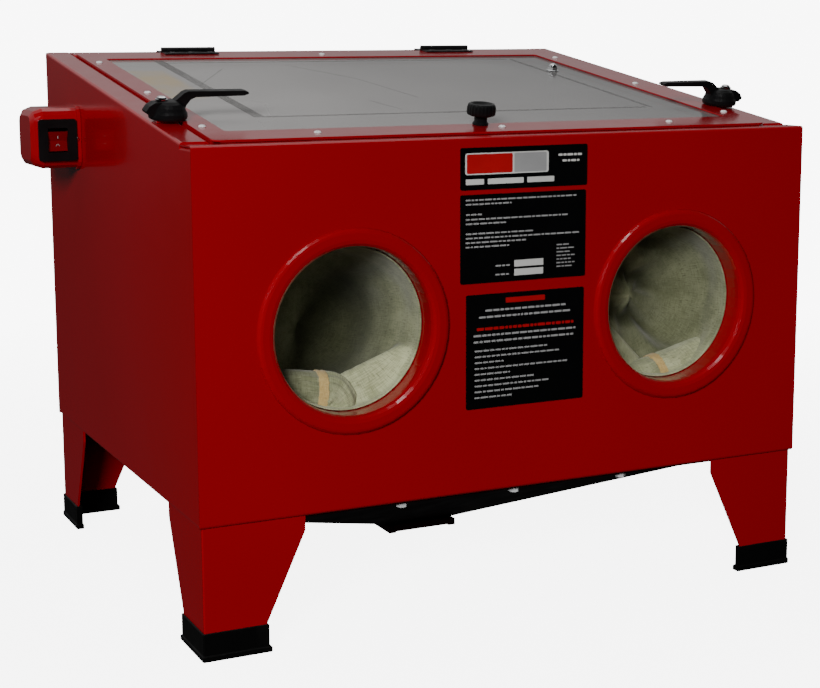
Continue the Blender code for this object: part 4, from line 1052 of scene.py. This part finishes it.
RIGHT_SHAPE = {
    "seed": 8.6,
    "sleeve": [
        (26, 67.2, 0),
        (45, 66, 0),
        (56, 61, 0),
        (66, 54, 0),
        (74, 40, 0),
        (78, 22, 0),
        (79, 5, 0),
    ],
    "folds": (3.2, 2, 3.5),
    "lap": (224, 42.5, 50),
    "swell": 275,
    "unshaded_arc": (250, 338),
    "painted_shade": ((20, 0.45), (45, 0.62), (60, 0.70)),
    "waves": (6.0, 37.6, 16.0, 0.45),
    "hollow_painted_shade": 0.75,
    "hand": [
        (-64, 46, -90, 13),
        (-36, 42, -80, 15.5),
        (-3, 40, -71.5, 16),
        (28, 41, -64.5, 16.5),
        (54, 44, -58.5, 16),
        (84, 50, -52, 13),
    ],
    "tied": 41,
    "hand_painted_shade": ((0, 0.4), (38, 0.3), (44, 0.0)),
}


# ------------------------------------------------------------------ the build

make_camera()
make_world()
make_floor()
make_light("overhead", (0.1, 0.25, 1.9), (0, 0, 0.3), (1.7, 1.2), 7)
make_light("front_left", (-2.37, -3.0, 1.66), (0, 0, 0.25), (1.2, 0.9), 202, glossy=False)
make_light("left", (-2.6, 0.1, 0.9), (-0.2, 0, 0.25), (0.7, 1.0), 2)
make_light("fill", (-0.7, -1.5, 0.55), (0, -0.2, 0.25), (0.5, 0.5), 1.8, glossy=False)
make_light("high_strip", (-0.75, -1.9, 2.4), (0, 0, 0.25), (1.3, 0.16), 13, diffuse=False)

RED = red_paint()
BLACK = moulded_black()
RUBBER = rubber()
BLACK_STEEL = black_steel()
DARK = dark_paint()
CHROME = bare_metal("bright_chrome", (0.78, 0.79, 0.8), 0.14)
ZINC = bare_metal("zinc_plate", (0.85, 0.86, 0.86), 0.3, metal=0.35)
STEEL = bare_metal("steel_sheet", (0.45, 0.45, 0.46), 0.35, (1.0, 12.0, 1.0))
BRASS = bare_metal("brass", (0.62, 0.43, 0.17), 0.25)
ALUMINIUM = bare_metal("cast_aluminium", (0.6, 0.61, 0.62), 0.42)
WHITE = plastic("white_print", (0.5, 0.5, 0.48), 0.5)
GREY = plastic("grey_print", (0.26, 0.26, 0.26), 0.5)
PRINT_RED = plastic("red_print", (0.32, 0.006, 0.008), 0.45)

SLOTS = {
    "red_paint": RED,
    "dark_paint": DARK,
    "black_plastic": BLACK,
    "rubber": RUBBER,
    "black_steel": BLACK_STEEL,
    "chrome": CHROME,
    "steel": STEEL,
    "brass": BRASS,
    "aluminium": ALUMINIUM,
    "cotton": woven("gauntlet_cotton", (0.39, 0.408, 0.245), (0.24, 0.256, 0.14), 1.2 * MM, 0.6),
    "elastic": woven("elastic_weave", (0.50, 0.365, 0.15), (0.34, 0.235, 0.085), 0.5 * MM, 0.25),
    "lamp_cover": plastic("lamp_cover", (0.75, 0.66, 0.42), 0.4),
    "red_lens": plastic("rocker_red", (0.13, 0.002, 0.004), 0.25, 0.02, 0.35),
    "label": plastic("label_black", (0.0018, 0.0018, 0.002), 0.45, 0.05, 0.18),
    "ceramic": plastic("nozzle_ceramic", (0.72, 0.69, 0.63), 0.5),
    "filter": plastic("filter_paper", (0.62, 0.59, 0.5), 0.9, 0.4),
    "foam": plastic("gasket_foam", (0.03, 0.03, 0.03), 0.9, 0.5),
    "glass": window_glass(),
}
for subpart in frame["record"]["subparts"]:
    node = NODES[subpart["node"]]
    node.data.materials.clear()
    node.data.materials.append(SLOTS[subpart["material_slot"]])

for name in ROUNDED:
    round_edges(name, EDGE_WIDTH)
lid_screws(ZINC)
hopper_bolts(ZINC)
dome_nut(CHROME)
hinge_screws(BLACK_STEEL)
knob(BLACK)
switch_details(CHROME, GREY)
printed_plates(WHITE, GREY, PRINT_RED)
window_film(film("window_film", (0.45, 0.44, 0.42), 0.18, 0.4))
film_edges(film("film_edge", (0.15, 0.145, 0.14), 0.18, 0.42))
gauntlet("left", LEFT_SHAPE, SLOTS["cotton"], SLOTS["elastic"])
gauntlet("right", RIGHT_SHAPE, SLOTS["cotton"], SLOTS["elastic"])
